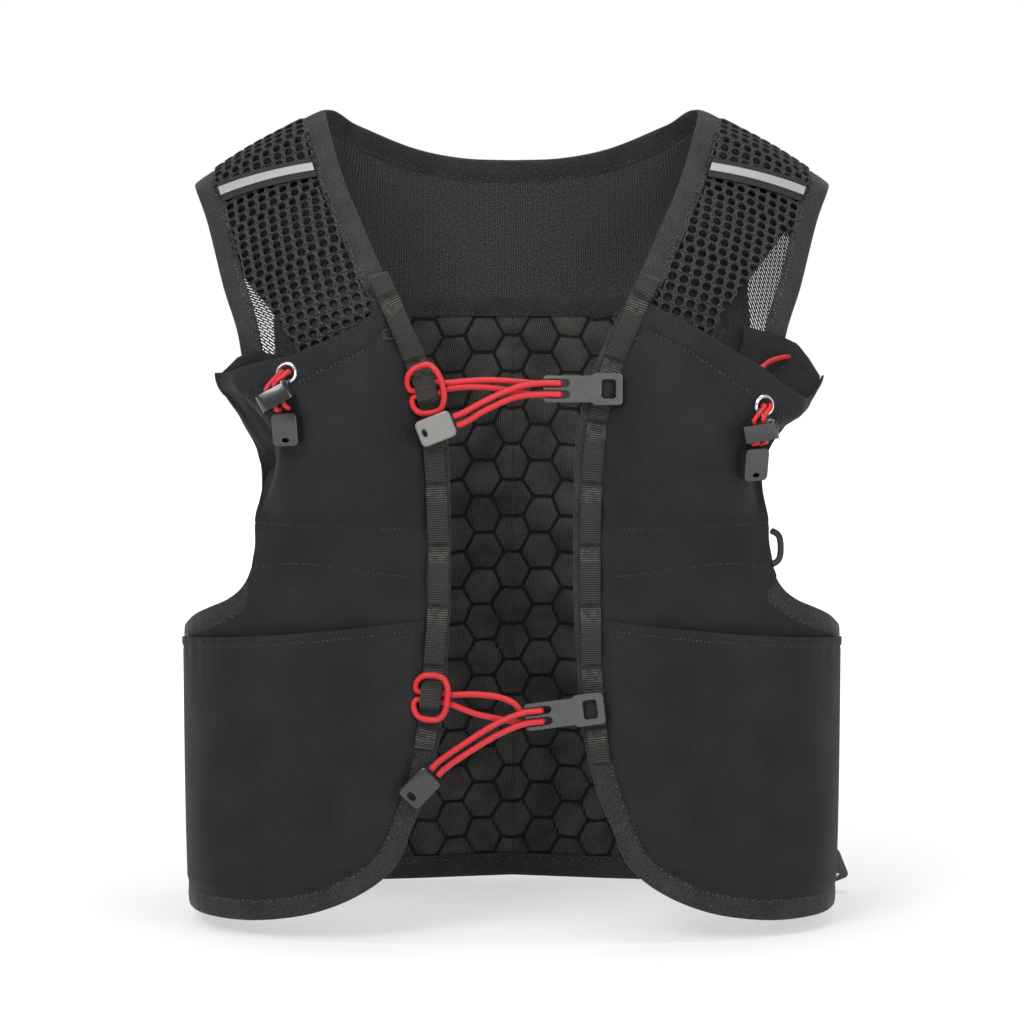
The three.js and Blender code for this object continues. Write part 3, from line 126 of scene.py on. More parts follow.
BODY = Table("z half front back", [
    (-20, 164, 98, 96), (40, 166, 101, 98), (90, 166.5, 102, 97), (150, 166, 102, 94),
    (220, 164, 101, 94), (265, 164, 97, 94), (300, 165, 89, 92), (330, 166, 77, 88),
])
BODY_POWER = 3
OPENING = Table("z x", [
    (42, 50), (60, 42.5), (80, 37), (100, 34), (130, 31.5), (160, 30), (200, 30),
    (232, 31), (250, 34), (266, 38.5), (282, 45), (300, 54.5),
])
HEM = Table("x z", [
    (50, 42), (53.5, 32), (60, 22), (71, 13), (86, 5), (104, -1), (128, -5), (150, -6), (162, -6),
])
ARMHOLE_FRONT = Table("x z", [
    (163, 141), (158, 146), (150, 150.5), (141, 155), (133, 162), (128, 173),
    (125, 190), (123, 215), (126, 240), (130, 260), (133, 273),
])
ARMHOLE_BACK = Table("x z", [
    (156, 132), (148, 139), (141, 150), (136, 168), (131, 195), (127, 230), (126, 265), (127, 292),
])

ROW_STEP = 2.5
ALONG_STEP = 1.0
ROW_Z = np.arange(-40, 346, ROW_STEP)
ALONG = np.arange(-30, 600, ALONG_STEP)


def body_rows():
    places = np.zeros((len(ROW_Z), len(ALONG), 3))
    lengths = np.zeros(len(ROW_Z))
    angle = np.pi * (1 - np.cos(np.pi * np.arange(961) / 960)) / 2
    c, s = np.cos(angle), np.sin(angle)
    power = 2 / BODY_POWER
    z_rows = BODY.column("z")
    body = BODY.smooth(np.interp(ROW_Z, z_rows, np.arange(len(z_rows))))
    for j, (_, half, front, back) in enumerate(body):
        x = half * np.abs(s) ** power
        y = np.where(c > 0, -front * np.abs(c) ** power, back * np.abs(c) ** power)
        at = np.concatenate([[0], np.cumsum(np.hypot(np.diff(x), np.diff(y)))])
        lengths[j] = at[-1]
        inside = np.where(ALONG < 0, -ALONG, np.where(ALONG > at[-1], 2 * at[-1] - ALONG, ALONG))
        side = np.where((ALONG < 0) | (ALONG > at[-1]), -1, 1)
        places[j, :, 0] = side * np.interp(inside, at, x)
        places[j, :, 1] = np.interp(inside, at, y)
        places[j, :, 2] = ROW_Z[j]
    normals = np.cross(np.gradient(places, axis=1), np.gradient(places, axis=0))
    normals /= np.linalg.norm(normals, axis=2, keepdims=True)
    return places, normals, lengths


BODY_PLACES, BODY_NORMALS, BODY_LENGTHS = body_rows()


def middle(z):
    """Length along the cloth from the front's middle to the back's middle."""
    return np.interp(z, ROW_Z, BODY_LENGTHS)


def on_body(side, along, z, off=0.0):
    """Points of the worn cloth by length round it, height, and lift off it."""
    along, z, off = np.broadcast_arrays(*(np.asarray(a, float) for a in (along, z, off)))
    row = np.clip((z - ROW_Z[0]) / ROW_STEP, 0, len(ROW_Z) - 1.001)
    col = np.clip((along - ALONG[0]) / ALONG_STEP, 0, len(ALONG) - 1.001)
    j, i = row.astype(int), col.astype(int)
    v, u = (row - j)[..., None], (col - i)[..., None]

    def read(grid):
        return ((grid[j, i] * (1 - u) + grid[j, i + 1] * u) * (1 - v)
                + (grid[j + 1, i] * (1 - u) + grid[j + 1, i + 1] * u) * v)
    place = read(BODY_PLACES) + read(BODY_NORMALS) * off[..., None]
    place[..., 2] += z - np.clip(z, ROW_Z[0], ROW_Z[-1])
    place[..., 0] *= side
    return place


def along_at(x, z, back=False):
    """Length along the cloth where it reaches x, on the front or the back."""
    def one(x, z):
        row = np.clip((z - ROW_Z[0]) / ROW_STEP, 0, len(ROW_Z) - 1.001)
        j = int(row)
        line = between(BODY_PLACES[j, :, 0], BODY_PLACES[j + 1, :, 0], row - j)
        length = middle(z)
        low = int((0 - ALONG[0]) / ALONG_STEP)
        high = int((length - ALONG[0]) / ALONG_STEP) + 1
        xs, at = line[low:high + 1], ALONG[low:high + 1]
        widest = int(np.argmax(xs))
        if back:
            return np.interp(x, xs[widest:][::-1], at[widest:][::-1])
        return np.interp(x, xs[:widest + 1], at[:widest + 1])
    return np.vectorize(one)(np.asarray(x, float), np.asarray(z, float))


def flat_table(x, z, back=False):
    return Table("along z", np.stack([along_at(x, z, back), z], axis=1))


def flat_curve(table):
    last = len(table.rows) - 1
    return lambda t: table.smooth(np.asarray(t, float) * last)


def inset(curve, distance):
    """The same flat curve moved sideways in the cloth."""
    def moved(t):
        t = np.asarray(t, float)
        step = curve(np.minimum(1, t + 0.002)) - curve(np.maximum(0, t - 0.002))
        step /= np.linalg.norm(step, axis=-1, keepdims=True)
        far = distance(t) if callable(distance) else np.full(t.shape, float(distance))
        side = np.stack([-step[..., 1], step[..., 0]], axis=-1)
        return curve(t) + side * far[..., None]
    return moved


def part_of(curve, start, end):
    return lambda t: curve(between(start, end, np.asarray(t, float)))


def line(p, q, sag=0.0):
    def straight(t):
        t = np.asarray(t, float)[..., None]
        return between(np.asarray(p), np.asarray(q), t) - sag * np.sin(np.pi * t) * np.array([0, 1])
    return straight


def patch(left, bottom, right, top):
    """Flat cloth filled in between its four edges."""
    c00, c01, c10, c11 = left(0.0), left(1.0), right(0.0), right(1.0)

    def filled(u, v):
        a, b = u[..., None], v[..., None]
        return ((1 - a) * left(v) + a * right(v) + (1 - b) * bottom(u) + b * top(u)
                - (1 - a) * (1 - b) * c00 - (1 - a) * b * c01 - a * (1 - b) * c10 - a * b * c11)
    return filled


def tint(red, green, blue):
    """A paint's screen colour, 0 to 255, as light."""
    def light(c):
        c = c / 255
        return c / 12.92 if c < 0.04045 else ((c + 0.055) / 1.055) ** 2.4
    return (light(red), light(green), light(blue), 1)


class Value:
    """A socket of a finish; reckoning with it adds Math nodes."""

    def __init__(self, finish, socket):
        self.finish = finish
        self.socket = socket

    def maths(self, operation, *values):
        return self.finish.node("Math", {"operation": operation}, values)

    def __add__(self, other):
        return self.maths("ADD", self, other)

    def __sub__(self, other):
        return self.maths("SUBTRACT", self, other)

    def __rsub__(self, other):
        return self.maths("SUBTRACT", other, self)

    def __mul__(self, other):
        return self.maths("MULTIPLY", self, other)

    __radd__ = __add__
    __rmul__ = __mul__

    def wave(self, pitch):
        """From 0 to 1 and back once in each pitch."""
        return self.maths("SINE", self * (2 * math.pi / pitch)) * 0.5 + 0.5

    def saw(self, pitch):
        return self.maths("FRACT", self * (1 / pitch))

    def size(self):
        return self.maths("ABSOLUTE", self)

    def least(self, other):
        return self.maths("MINIMUM", self, other)

    def clear(self, low, high):
        """0 below low and 1 above high, smooth between them."""
        settings = {"interpolation_type": "SMOOTHSTEP"}
        return self.finish.node("MapRange", settings, {0: self, 1: low, 2: high, 3: 0.0, 4: 1.0})


class Finish:
    """A material, with the name of one of the record's slots."""

    def __init__(self, slot, name, color, roughness, **constants):
        self.slot = slot
        self.material = bpy.data.materials.new(name)
        self.material.use_nodes = True
        self.tree = self.material.node_tree
        self.surface = self.tree.nodes["Principled BSDF"]
        self.surface.inputs["Base Color"].default_value = color
        self.surface.inputs["Roughness"].default_value = roughness
        for key, value in constants.items():
            self.surface.inputs[key.replace("_", " ")].default_value = value

    def node(self, kind, settings=None, inputs=(), output=0):
        made = self.tree.nodes.new("ShaderNode" + kind)
        for key, value in (settings or {}).items():
            setattr(made, key, value)
        pairs = inputs.items() if isinstance(inputs, dict) else enumerate(inputs)
        for key, value in pairs:
            if isinstance(value, Value):
                self.tree.links.new(value.socket, made.inputs[key])
            else:
                made.inputs[key].default_value = value
        return Value(self, made.outputs[output])

    def read(self, name):
        """A named number or vector that the mesh carries."""
        return self.node("Attribute", {"attribute_name": name}, output="Vector")

    def read_part(self, name, k=0):
        """One of the three numbers that a point of the mesh carries."""
        return self.node("SeparateXYZ", {}, [self.read(name)], output=k)

    def flat(self):
        """Millimetres across and along the cloth."""
        return self.read("cloth"), self.read_part("cloth", 0), self.read_part("cloth", 1)

    def noise(self, place, scale, detail=2.0):
        return self.node("TexNoise", {}, {"Vector": place, "Scale": scale, "Detail": detail})

    def mix(self, factor, a, b):
        return self.node("Mix", {"data_type": "RGBA"}, {0: factor, 6: a, 7: b}, output=2)

    def color(self, value):
        self.tree.links.new(value.socket, self.surface.inputs["Base Color"])

    def rough(self, value):
        self.tree.links.new(value.socket, self.surface.inputs["Roughness"])

    def alpha(self, value):
        self.tree.links.new(value.socket, self.surface.inputs["Alpha"])

    def relief(self, height, depth):
        """Bump of a depth in millimetres."""
        made = self.node("Bump", {}, {"Strength": 1.0, "Distance": depth / 1000, "Height": height})
        self.tree.links.new(made.socket, self.surface.inputs["Normal"])


def mesh_piece(name, points, faces, finish, carried, **attributes):
    """An object of millimetre points above the hem line, on the root body."""
    mesh = bpy.data.meshes.new(name)
    points = (np.asarray(points, float).reshape(-1, 3) - (0, 0, SHOULDER_HEIGHT)) / 1000
    faces = np.asarray(faces, int)
    corners = faces.shape[1]
    mesh.vertices.add(len(points))
    mesh.vertices.foreach_set("co", points.ravel())
    mesh.loops.add(faces.size)
    mesh.loops.foreach_set("vertex_index", faces.ravel())
    mesh.polygons.add(len(faces))
    mesh.polygons.foreach_set("loop_start", np.arange(len(faces)) * corners)
    mesh.polygons.foreach_set("loop_total", np.full(len(faces), corners))
    mesh.update(calc_edges=True)
    mesh.validate()
    for key, values in attributes.items():
        values = np.asarray(values, float).reshape(len(points), -1)
        full = np.zeros((len(points), 3))
        full[:, :values.shape[1]] = values
        made = mesh.attributes.new(key, "FLOAT_VECTOR", "POINT")
        made.data.foreach_set("vector", full.ravel())
    mesh.materials.append(finish.material)
    piece = bpy.data.objects.new(name, mesh)
    scene.collection.objects.link(piece)
    mesh.shade_smooth()
    mesh.set_sharp_from_angle(angle=math.radians(SHARP_ANGLE))
    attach(piece, "root")
    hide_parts(*carried)
    return piece


def two_layers(outer, inner):
    """Points and four-cornered faces of cloth with its rim closed."""
    nv, nu = outer.shape[:2]
    points = np.concatenate([outer.reshape(-1, 3), inner.reshape(-1, 3)])
    front = np.arange(nv * nu).reshape(nv, nu)
    back = front + nv * nu

    def strip(a, b):
        return np.stack([a[:-1], a[1:], b[1:], b[:-1]], axis=1)
    grid = np.stack([front[:-1, :-1], front[:-1, 1:], front[1:, 1:], front[1:, :-1]], axis=2).reshape(-1, 4)
    faces = [grid, grid[:, ::-1] + nv * nu,
             strip(back[0], front[0]), strip(front[-1], back[-1]),
             strip(front[:, 0], back[:, 0]), strip(back[:, -1], front[:, -1])]
    return points, np.concatenate(faces)


def facing_out(points, faces):
    """The same faces, turned round where the body would be inside out."""
    p = points - points.mean(axis=0)
    a, b, c, d = (p[faces[:, k]] for k in range(4))
    volume = (a * (np.cross(b, c) + np.cross(c, d))).sum()
    return faces if volume > 0 else faces[:, ::-1]


def shares(across, up):
    return np.meshgrid(np.linspace(0, 1, across + 1), np.linspace(0, 1, up + 1))


def layered_piece(name, layers, finish, carried, **attributes):
    """A thin piece whose two layers carry the same named numbers."""
    points, faces = two_layers(*layers)
    doubled = {}
    for key, values in attributes.items():
        doubled[key] = np.concatenate([np.reshape(values, (len(points) // 2, -1))] * 2)
    return mesh_piece(name, points, facing_out(points, faces), finish, carried, **doubled)


def cloth_layers(side, along, z, off, wall):
    """Both faces of a cloth of a given wall on the body."""
    return [on_body(side, along, z, off + share * wall) for share in (0.5, -0.5)]


def panel_piece(name, side, flat, across, up, carried):
    """A panel of body cloth, filled in between its flat edges."""
    place = flat(*shares(across, up))
    layers = cloth_layers(side, place[..., 0], place[..., 1], 0, PANEL_WALL)
    return layered_piece(name, layers, PANEL_FINISH, carried, cloth=place)


def grain(finish, place, u, v):
    """Fine crossed yarns of a thin woven stretch cloth, as a height."""
    return (u + v).wave(0.9) * 0.5 + (u - v).wave(0.9) * 0.5 + finish.noise(place, 1.6) * 0.8


def shell_finish(name, color, darker):
    finish = Finish("shell_fabric", name, color, 0.8, Specular_IOR_Level=0.22, Sheen_Weight=0.06,
                    Sheen_Roughness=0.4)
    place, u, v = finish.flat()
    cloudy = finish.noise(place, 0.03, 3.0)
    speckle = finish.noise(place, 1.1, 1.0)
    tone = (cloudy * 0.5 + speckle * 0.5).clear(0.3, 0.7)
    finish.color(finish.mix(tone, darker, color))
    finish.relief(grain(finish, place, u, v), 0.09)
    return finish


PANEL_FINISH = shell_finish("panel cloth", tint(31, 31, 33), tint(17, 17, 19))

SIDES = (("left", -1), ("right", 1))
seam_along = float(along_at(HEM.rows[-1, 0], HEM.rows[-1, 1]))
edge_x = np.concatenate([OPENING.column("x")[::-1], HEM.column("x")[1:]])
edge_z = np.concatenate([OPENING.column("z")[::-1], HEM.column("z")[1:]])
front_edge = flat_curve(flat_table(edge_x, edge_z))
corner_share = (len(OPENING.rows) - 1) / (len(edge_x) - 1)
armhole_rows = flat_table(ARMHOLE_FRONT.column("x"), ARMHOLE_FRONT.column("z"))
armhole_rows.rows[0, 0] = seam_along
front_armhole = flat_curve(armhole_rows)
back_armhole = flat_curve(flat_table(ARMHOLE_BACK.column("x"), ARMHOLE_BACK.column("z"), True))
panel_edge = inset(front_edge, TUCK)
PANEL_SIDE_SHARE = 0.42
PANEL_TOP = 0.053
ARM_TOP = 0.86
panel_left = part_of(panel_edge, corner_share, PANEL_TOP)
panel_bottom = part_of(panel_edge, corner_share, 1)
panel_arm = inset(front_armhole, TUCK)


def panel_right(t):
    t = np.asarray(t, float)
    z = between(panel_bottom(1.0)[1], panel_arm(0.0)[1] - 1, t / PANEL_SIDE_SHARE)
    seam = np.stack([np.full(t.shape, seam_along), z], axis=-1)
    arm = panel_arm(ARM_TOP * np.clip((t - PANEL_SIDE_SHARE) / (1 - PANEL_SIDE_SHARE), 0, 1))
    return np.where((t < PANEL_SIDE_SHARE)[..., None], seam, arm)


panel_flat = patch(panel_left, panel_bottom, panel_right, line(panel_left(1.0), panel_right(1.0)))
for side_name, side in SIDES:
    piece = panel_piece(f"front_cloth_{side_name}", side, panel_flat, 40, 70, [f"front_panel_{side_name}"])

# Bindings: soft folded tape, about 12 mm wide, sewn over every raw edge of
# the cloth with one zigzag row near its inner border. One runs round each
# front opening, and one round the sides and the back hem.
PUCKER = 0.1
STITCH_SHARE = 0.87
TAPE_PROFILE = np.array([
    (1.0, 0.30), (0.985, 0.46), (0.93, 0.5), (0.87, 0.40), (0.81, 0.5), (0.5, 0.56), (0.2, 0.54),
    (0.08, 0.44), (0.02, 0.26), (0.0, 0.0), (0.02, -0.26), (0.08, -0.44), (0.2, -0.54), (0.5, -0.56),
    (0.81, -0.5), (0.87, -0.40), (0.93, -0.5), (0.985, -0.46), (1.0, -0.30),
])


def tape_finish():
    color = tint(38, 35, 39)
    finish = Finish("binding_tape", "folded binding tape", color, 0.75, Specular_IOR_Level=0.25,
                    Sheen_Weight=0.12, Sheen_Roughness=0.35)
    place, u, v = finish.flat()
    cloudy = finish.noise(place, 0.06, 3.0)
    speckle = finish.noise(place, 1.0, 1.0)
    body = finish.mix((cloudy * 0.3 + speckle * 0.7).clear(0.3, 0.7), tint(20, 18, 20), tint(52, 48, 53))
    zigzag = (u.saw(2.6) - 0.5).size() * 2.2
    thread = 1 - (v - (BINDING_WIDTH * STITCH_SHARE - 1.1) - zigzag).size().clear(0.18, 0.42)
    dented = finish.mix(thread * 0.8, body, tint(14, 13, 14))
    glint = thread * finish.noise(place, 0.9, 1.0).clear(0.5, 0.62)
    finish.color(finish.mix(glint * 0.7, dented, tint(96, 92, 96)))
    height = grain(finish, place, u, v) * 0.35 + thread * 1.1
    finish.relief(height, 0.16)
    return finish


TAPE_FINISH = tape_finish()


def ring_faces(rows, columns, ring):
    """Faces of a tube: rows along it, columns round it."""
    at = np.arange(rows * columns).reshape(rows, columns)
    if ring:
        at = np.concatenate([at, at[:1]])
    a, b = at[:-1], at[1:]
    return np.stack([a, np.roll(a, -1, 1), np.roll(b, -1, 1), b], axis=2).reshape(-1, 4)


def end_caps(rows, columns):
    """Four-cornered faces that close both ends of a tube."""
    faces = []
    for start, turn in ((0, 1), ((rows - 1) * columns, -1)):
        for k in range((columns - 2) // 2):
            quad = [start + k, start + k + 1, start + columns - 2 - k, start + columns - 1 - k]
            faces.append(quad[::turn])
    return np.array([f for f in faces if len(set(f)) == 4])


def smoothed(values, reach, ring):
    """Running mean along the first axis."""
    mode = "wrap" if ring else "edge"
    wide = np.pad(values, ((reach, reach),) + ((0, 0),) * (values.ndim - 1), mode=mode)
    return sum(wide[k:k + len(values)] for k in range(2 * reach + 1)) / (2 * reach + 1)


def run_of(line):
    """Length along a line of points, from its start."""
    return np.concatenate([[0], np.cumsum(np.linalg.norm(np.diff(line, axis=0), axis=1))])


def binding(name, edge, inner, normal, carried, ring=False, wall=BINDING_WALL):
    """A folded tape between its edge and its inner border, rows along it."""
    run = run_of(edge)
    normal = normal / np.linalg.norm(normal, axis=1, keepdims=True)
    share, height = TAPE_PROFILE[:, 0], TAPE_PROFILE[:, 1] * wall
    lift = PUCKER * (np.sin(run / 1.9 + 2 * np.sin(run / 23)) + np.sin(run / 5.3))
    points = (edge[:, None] * (1 - share[None, :, None]) + inner[:, None] * share[None, :, None]
              + normal[:, None] * (height + lift[:, None] * np.sin(np.pi * share) ** 2)[..., None])
    rows, columns = points.shape[:2]
    faces = ring_faces(rows, columns, ring)
    if not ring:
        faces = np.concatenate([faces, end_caps(rows, columns)])
    flat = np.stack(np.broadcast_arrays(run[:, None], share[None] * BINDING_WIDTH), axis=-1)
    points = points.reshape(-1, 3)
    return mesh_piece(name, points, facing_out(points, faces), TAPE_FINISH, carried,
                      cloth=flat.reshape(-1, 2))


def body_tape(side, edge, inner):
    """Edge, inner border and outward direction of a tape on the body."""
    low = on_body(side, edge[:, 0], edge[:, 1])
    high = on_body(side, inner[:, 0], inner[:, 1])
    normal = on_body(side, edge[:, 0], edge[:, 1], 1.0) - low
    return low, high, normal


for side_name, side in SIDES:
    t = np.linspace(0, 1, 420)
    tape = body_tape(side, front_edge(t), inset(front_edge, BINDING_WIDTH)(t))
    binding(f"front_tape_{side_name}", *tape, [f"front_binding_{side_name}"])

BACK_HEM = Table("share z", [(0, -6), (0.2, -9), (0.5, -12.5), (0.75, -13), (1, -11)])


def hem_z(share):
    return BACK_HEM.at("share", share, "z")


def hem_rows(share, up):
    z = hem_z(1 - np.abs(share)) + up
    return np.stack([between(seam_along + EDGE_GAP, middle(z), 1 - np.abs(share)), z], axis=-1)


share = np.linspace(-1, 1, 520)
turn = np.where(share < 0, -1, 1)
tape = body_tape(turn, hem_rows(share, 0), hem_rows(share, BINDING_WIDTH))
binding("back_hem_tape", *tape, ["back_hem_binding"])

# Side panels: plain stretch cloth round each side, between the side seam
# and the padded back.
SIDE_DIP = 3.0


def back_seam(z):
    return along_at(ARMHOLE_BACK.rows[0, 0], z, True)


def side_top(t):
    return between(ARMHOLE_FRONT.rows[0, 1], ARMHOLE_BACK.rows[0, 1], t) - SIDE_DIP * np.sin(np.pi * t)


def side_flat(u, v):
    low_along = between(seam_along, back_seam(np.zeros(1))[0], u)
    low = hem_z((low_along - seam_along) / (middle(0) - seam_along)) + TUCK
    z = between(low, side_top(u) - TUCK, v)
    rows = np.linspace(z.min(), z.max(), 60)
    seam = np.interp(z, rows, back_seam(rows))
    return np.stack([between(seam_along - 0.4, seam + 0.4, u), z], axis=-1)


for side_name, side in SIDES:
    piece = panel_piece(f"side_cloth_{side_name}", side, side_flat, 40, 50, [f"side_panel_{side_name}"])

# Back panel: open mesh over foam, pressed into puffed hexagons with sunk
# seams between them; it lies against the wearer's back.
BACK_PAD = 4.0
TAPE_Z = 292.0
SEAM_TAPE_WIDTH = 11.0
BACK_SIDE_SHARE = 0.4
HEX_ACROSS = 15.6
HEX_UP = 19.4
HEX_PUFF = 2.4
HEX_EDGE = 0.96
HEX_SEAM_WALL = 0.2


def hexagons(along, z):
    """0 at a hexagon's middle and 1 on the line between two hexagons."""
    a = (along - middle(z)) / HEX_ACROSS
    b = z / HEX_UP
    a = a + 0.06 * np.sin(b * 2.1 + a)
    b = b + 0.05 * np.sin(a * 1.7)
    best = np.full(a.shape, 9.0)
    for step in (0, 1):
        column = np.floor(a) + step
        shift = 0.5 * (column % 2)
        row = np.round(b - shift) + shift
        for up in (-1, 0, 1):
            dy = np.abs(b - row - up) * 2
            dx = np.abs(a - column) * 1.5
            best = np.minimum(best, np.maximum(dy, dx + dy / 2))
    return best


def back_edge(t):
    t = np.asarray(t, float)
    low = hem_z((back_seam(np.zeros(1))[0] - seam_along) / (middle(0) - seam_along)) + TUCK
    arm = inset(back_armhole, -TUCK)
    z = between(low, arm(0.0)[1] - 1, np.clip(t / BACK_SIDE_SHARE, 0, 1))
    rows = np.linspace(z.min(), z.max(), 60)
    seam = np.stack([np.interp(z, rows, back_seam(rows)), z], axis=-1)
    high = arm(np.clip((t - BACK_SIDE_SHARE) / (1 - BACK_SIDE_SHARE), 0, 1))
    high = np.stack([high[..., 0], np.minimum(high[..., 1], TAPE_Z + 1.2)], axis=-1)
    return np.where((t < BACK_SIDE_SHARE)[..., None], seam, high)


def back_centre(t):
    z = between(hem_z(1.0) + TUCK, TAPE_Z + 1.2, np.asarray(t, float))
    return np.stack([middle(z), z], axis=-1)


def back_bottom(t):
    a = between(back_edge(0.0)[0], back_centre(0.0)[0], np.asarray(t, float))
    return np.stack([a, hem_z((a - seam_along) / (middle(0) - seam_along)) + TUCK], axis=-1)


back_patch = patch(back_edge, back_bottom, back_centre, line(back_edge(1.0), back_centre(1.0)))


def hex_finish():
    finish = Finish("hex_mesh", "quilted foam mesh", tint(45, 45, 44), 0.85, Specular_IOR_Level=0.2,
                    Sheen_Weight=0.08)
    place, u, v = finish.flat()
    sunk = finish.read_part("pattern")
    yarns = u.wave(1.15) * 0.6 + v.wave(1.25) * 0.4
    cloudy = finish.noise(place, 0.05, 3.0)
    grid = u.wave(1.05) * 0.5 + v.wave(1.3) * 0.15 + finish.noise(place, 1.0, 1.0) * 0.35
    tone = (grid * 0.9 + cloudy * 0.9 - 0.15).clear(0.35, 1.1)
    net = finish.mix(tone, tint(13, 13, 12), tint(70, 69, 66))
    ragged = sunk + (finish.noise(place, 0.7, 1.0) - 0.5) * 0.08
    # Painted shade: the sunk seams between the puffs are coloured darker, and a near-black line along each
    # puff's edge paints the shadow it casts into the seam.
    net_with_seam_shade = finish.mix(ragged.clear(0.9, 0.94), net, tint(19, 19, 18))
    line = 1 - (ragged - 0.92).size().clear(0.01, 0.04)
    finish.color(finish.mix(line * 0.75, net_with_seam_shade, tint(6, 6, 6)))
    finish.relief(yarns, 0.2)
    return finish


HEX_FINISH = hex_finish()
u, v = shares(206, 184)
half = 1 - np.abs(2 * u - 1)
place = back_patch(half, v)
pattern = hexagons(place[..., 0], place[..., 1])
rim = ease(half, 0, 0.03) * ease(v, 0, 0.03) * ease(1 - v, 0, 0.02)
puff = HEX_PUFF * (1 - np.clip(pattern / HEX_EDGE, 0, 1) ** 4) * rim
turn = np.where(u < 0.5, -1, 1)
layers = [on_body(turn, place[..., 0], place[..., 1], lift)
          for lift in (BACK_PAD / 2, -BACK_PAD / 2 + HEX_PUFF - HEX_SEAM_WALL - puff)]
flat = np.stack([place[..., 0] * turn, place[..., 1]], axis=-1)
back_panel = layered_piece("hex_back", layers, HEX_FINISH, ["back_panel"], cloth=flat, pattern=pattern)

# Seam tape: soft tape across the top of the back panel, sewn along both
# borders with zigzag rows.
SEAM_TAPE_WALL = 2.6
TAPE_TOP = TAPE_Z + SEAM_TAPE_WIDTH
tape_end = back_armhole(1.0)[0] + SIDE_INSET
share = np.linspace(-1, 1, 260)
rows = []
for z in (TAPE_TOP, TAPE_Z):
    rows.append(np.stack([between(middle(z), tape_end, np.abs(share)), np.full(share.shape, z)], axis=-1))
binding("yoke_tape", *body_tape(np.where(share < 0, -1, 1), *rows), ["yoke_seam_tape"], wall=SEAM_TAPE_WALL)

# Yoke: fine rib knit of the upper back, seen on its inner side; it runs from
# the seam tape up to the collar and the shoulder seams.
YOKE_WALL = 2.0
NECK_SHARE = 2 / 6
COLLAR_BLEND = 0.62
YOKE_TOP = Table("x y z", [
    (162.5, 4.8, 360), (129, 7.3, 382.5), (96, 8.8, 398.5), (80, 34, 392),
    (52, 66, 381), (26, 80, 376), (0, 84, 375),
])


def unit(v):
    return v / np.linalg.norm(v, axis=-1, keepdims=True)


def yoke_surface(u, v):
    p0 = YOKE_TOP.smooth(u * (len(YOKE_TOP.rows) - 1))
    z1 = TAPE_TOP - 1.2
    p1 = on_body(1, between(back_armhole(1.0)[0], middle(z1), u), z1)
    reach = np.linalg.norm(p1 - p0, axis=-1, keepdims=True) * 1.15
    blend = ease(u, NECK_SHARE * 0.6, COLLAR_BLEND)
    t0 = unit(np.stack([0 * blend, between(1, 0.35, blend), between(-0.05, -1, blend)], axis=-1)) * reach
    t1 = np.array([0, 0.08, -1]) * reach
    v = v[..., None]
    v2, v3 = v * v, v * v * v
    return ((2 * v3 - 3 * v2 + 1) * p0 + (v3 - 2 * v2 + v) * t0
            + (3 * v2 - 2 * v3) * p1 + (v3 - v2) * t1)


def yoke_point(side, u, v, off=0.0):
    u, v, off = np.broadcast_arrays(*(np.asarray(a, float) for a in (u, v, off)))
    h = 0.01
    across = yoke_surface(np.minimum(1, u + h), v) - yoke_surface(np.maximum(0, u - h), v)
    down = yoke_surface(u, np.minimum(1, v + h)) - yoke_surface(u, np.maximum(0, v - h))
    place = yoke_surface(u, v) + unit(np.cross(down, across)) * off[..., None]
    place[..., 0] *= side
    return place


collar_line = yoke_point(1, np.linspace(NECK_SHARE, 1, 200), 0.0)
yoke_outer_line = yoke_point(1, 0.0, np.linspace(0, 1, 200))


def nearest(place, line):
    return np.linalg.norm(place[..., None, :] - line, axis=-1).min(axis=-1)


def collar_inset(u, distance, least):
    """Share down the yoke where it is a distance from the collar."""
    low, high = np.full(u.shape, float(least)), np.full(u.shape, 0.5)
    near = nearest(yoke_point(1, u, low), collar_line) < distance
    for _ in range(16):
        mid = (low + high) / 2
        inside = nearest(yoke_point(1, u, mid), collar_line) < distance
        low, high = np.where(inside, mid, low), np.where(inside, high, mid)
    return np.where(near, high, least)


def outer_inset(v, distance):
    low, high = np.zeros(v.shape), np.full(v.shape, 0.4)
    for _ in range(16):
        mid = (low + high) / 2
        inside = nearest(yoke_point(1, mid, v), yoke_outer_line) < distance
        low, high = np.where(inside, mid, low), np.where(inside, high, mid)
    return high


def knit_finish():
    finish = Finish("yoke_knit", "rib knit", tint(42, 43, 41), 0.9, Specular_IOR_Level=0.15,
                    Sheen_Weight=0.1)
    place, u, v = finish.flat()
    ribs = u.wave(1.25)
    loops = (v + u.saw(1.25) * 0.5).wave(1.1)
    dots = ribs * 0.3 + loops * 0.3 + finish.noise(place, 1.0, 1.0) * 1.0
    finish.color(finish.mix(dots.clear(0.45, 1.15), tint(18, 18, 17), tint(68, 68, 66)))
    finish.relief(dots, 0.15)
    return finish


KNIT_FINISH = knit_finish()
u, v = shares(130, 60)
side_share = between(outer_inset(v[:, 0], TUCK)[:, None], 1, 1 - np.abs(2 * u - 1))
top_share = collar_inset(side_share[0], TUCK, 0.004)
down = between(top_share[None], 1, v)
turn = np.where(u < 0.5, -1, 1)
layers = [yoke_point(turn, side_share, down, lift) for lift in (YOKE_WALL / 2, -YOKE_WALL / 2)]
run = np.concatenate([np.zeros((1, u.shape[1])),
                      np.cumsum(np.linalg.norm(np.diff(layers[0], axis=0), axis=2), axis=0)])
flat = np.stack([layers[0][..., 0], -run], axis=-1)
yoke = layered_piece("knit_yoke", layers, KNIT_FINISH, ["back_yoke"], cloth=flat)

# Shoulder straps: thick open spacer mesh. Round holes in its face stand over
# a backing of slanting yarns, so light comes through where nothing is behind.
STRAP_MESH = 3.6
HOLE_ACROSS = 5.9
HOLE_UP = 5.7
HOLE_RADIUS = 2.25
HOLE_LEAN = -0.35
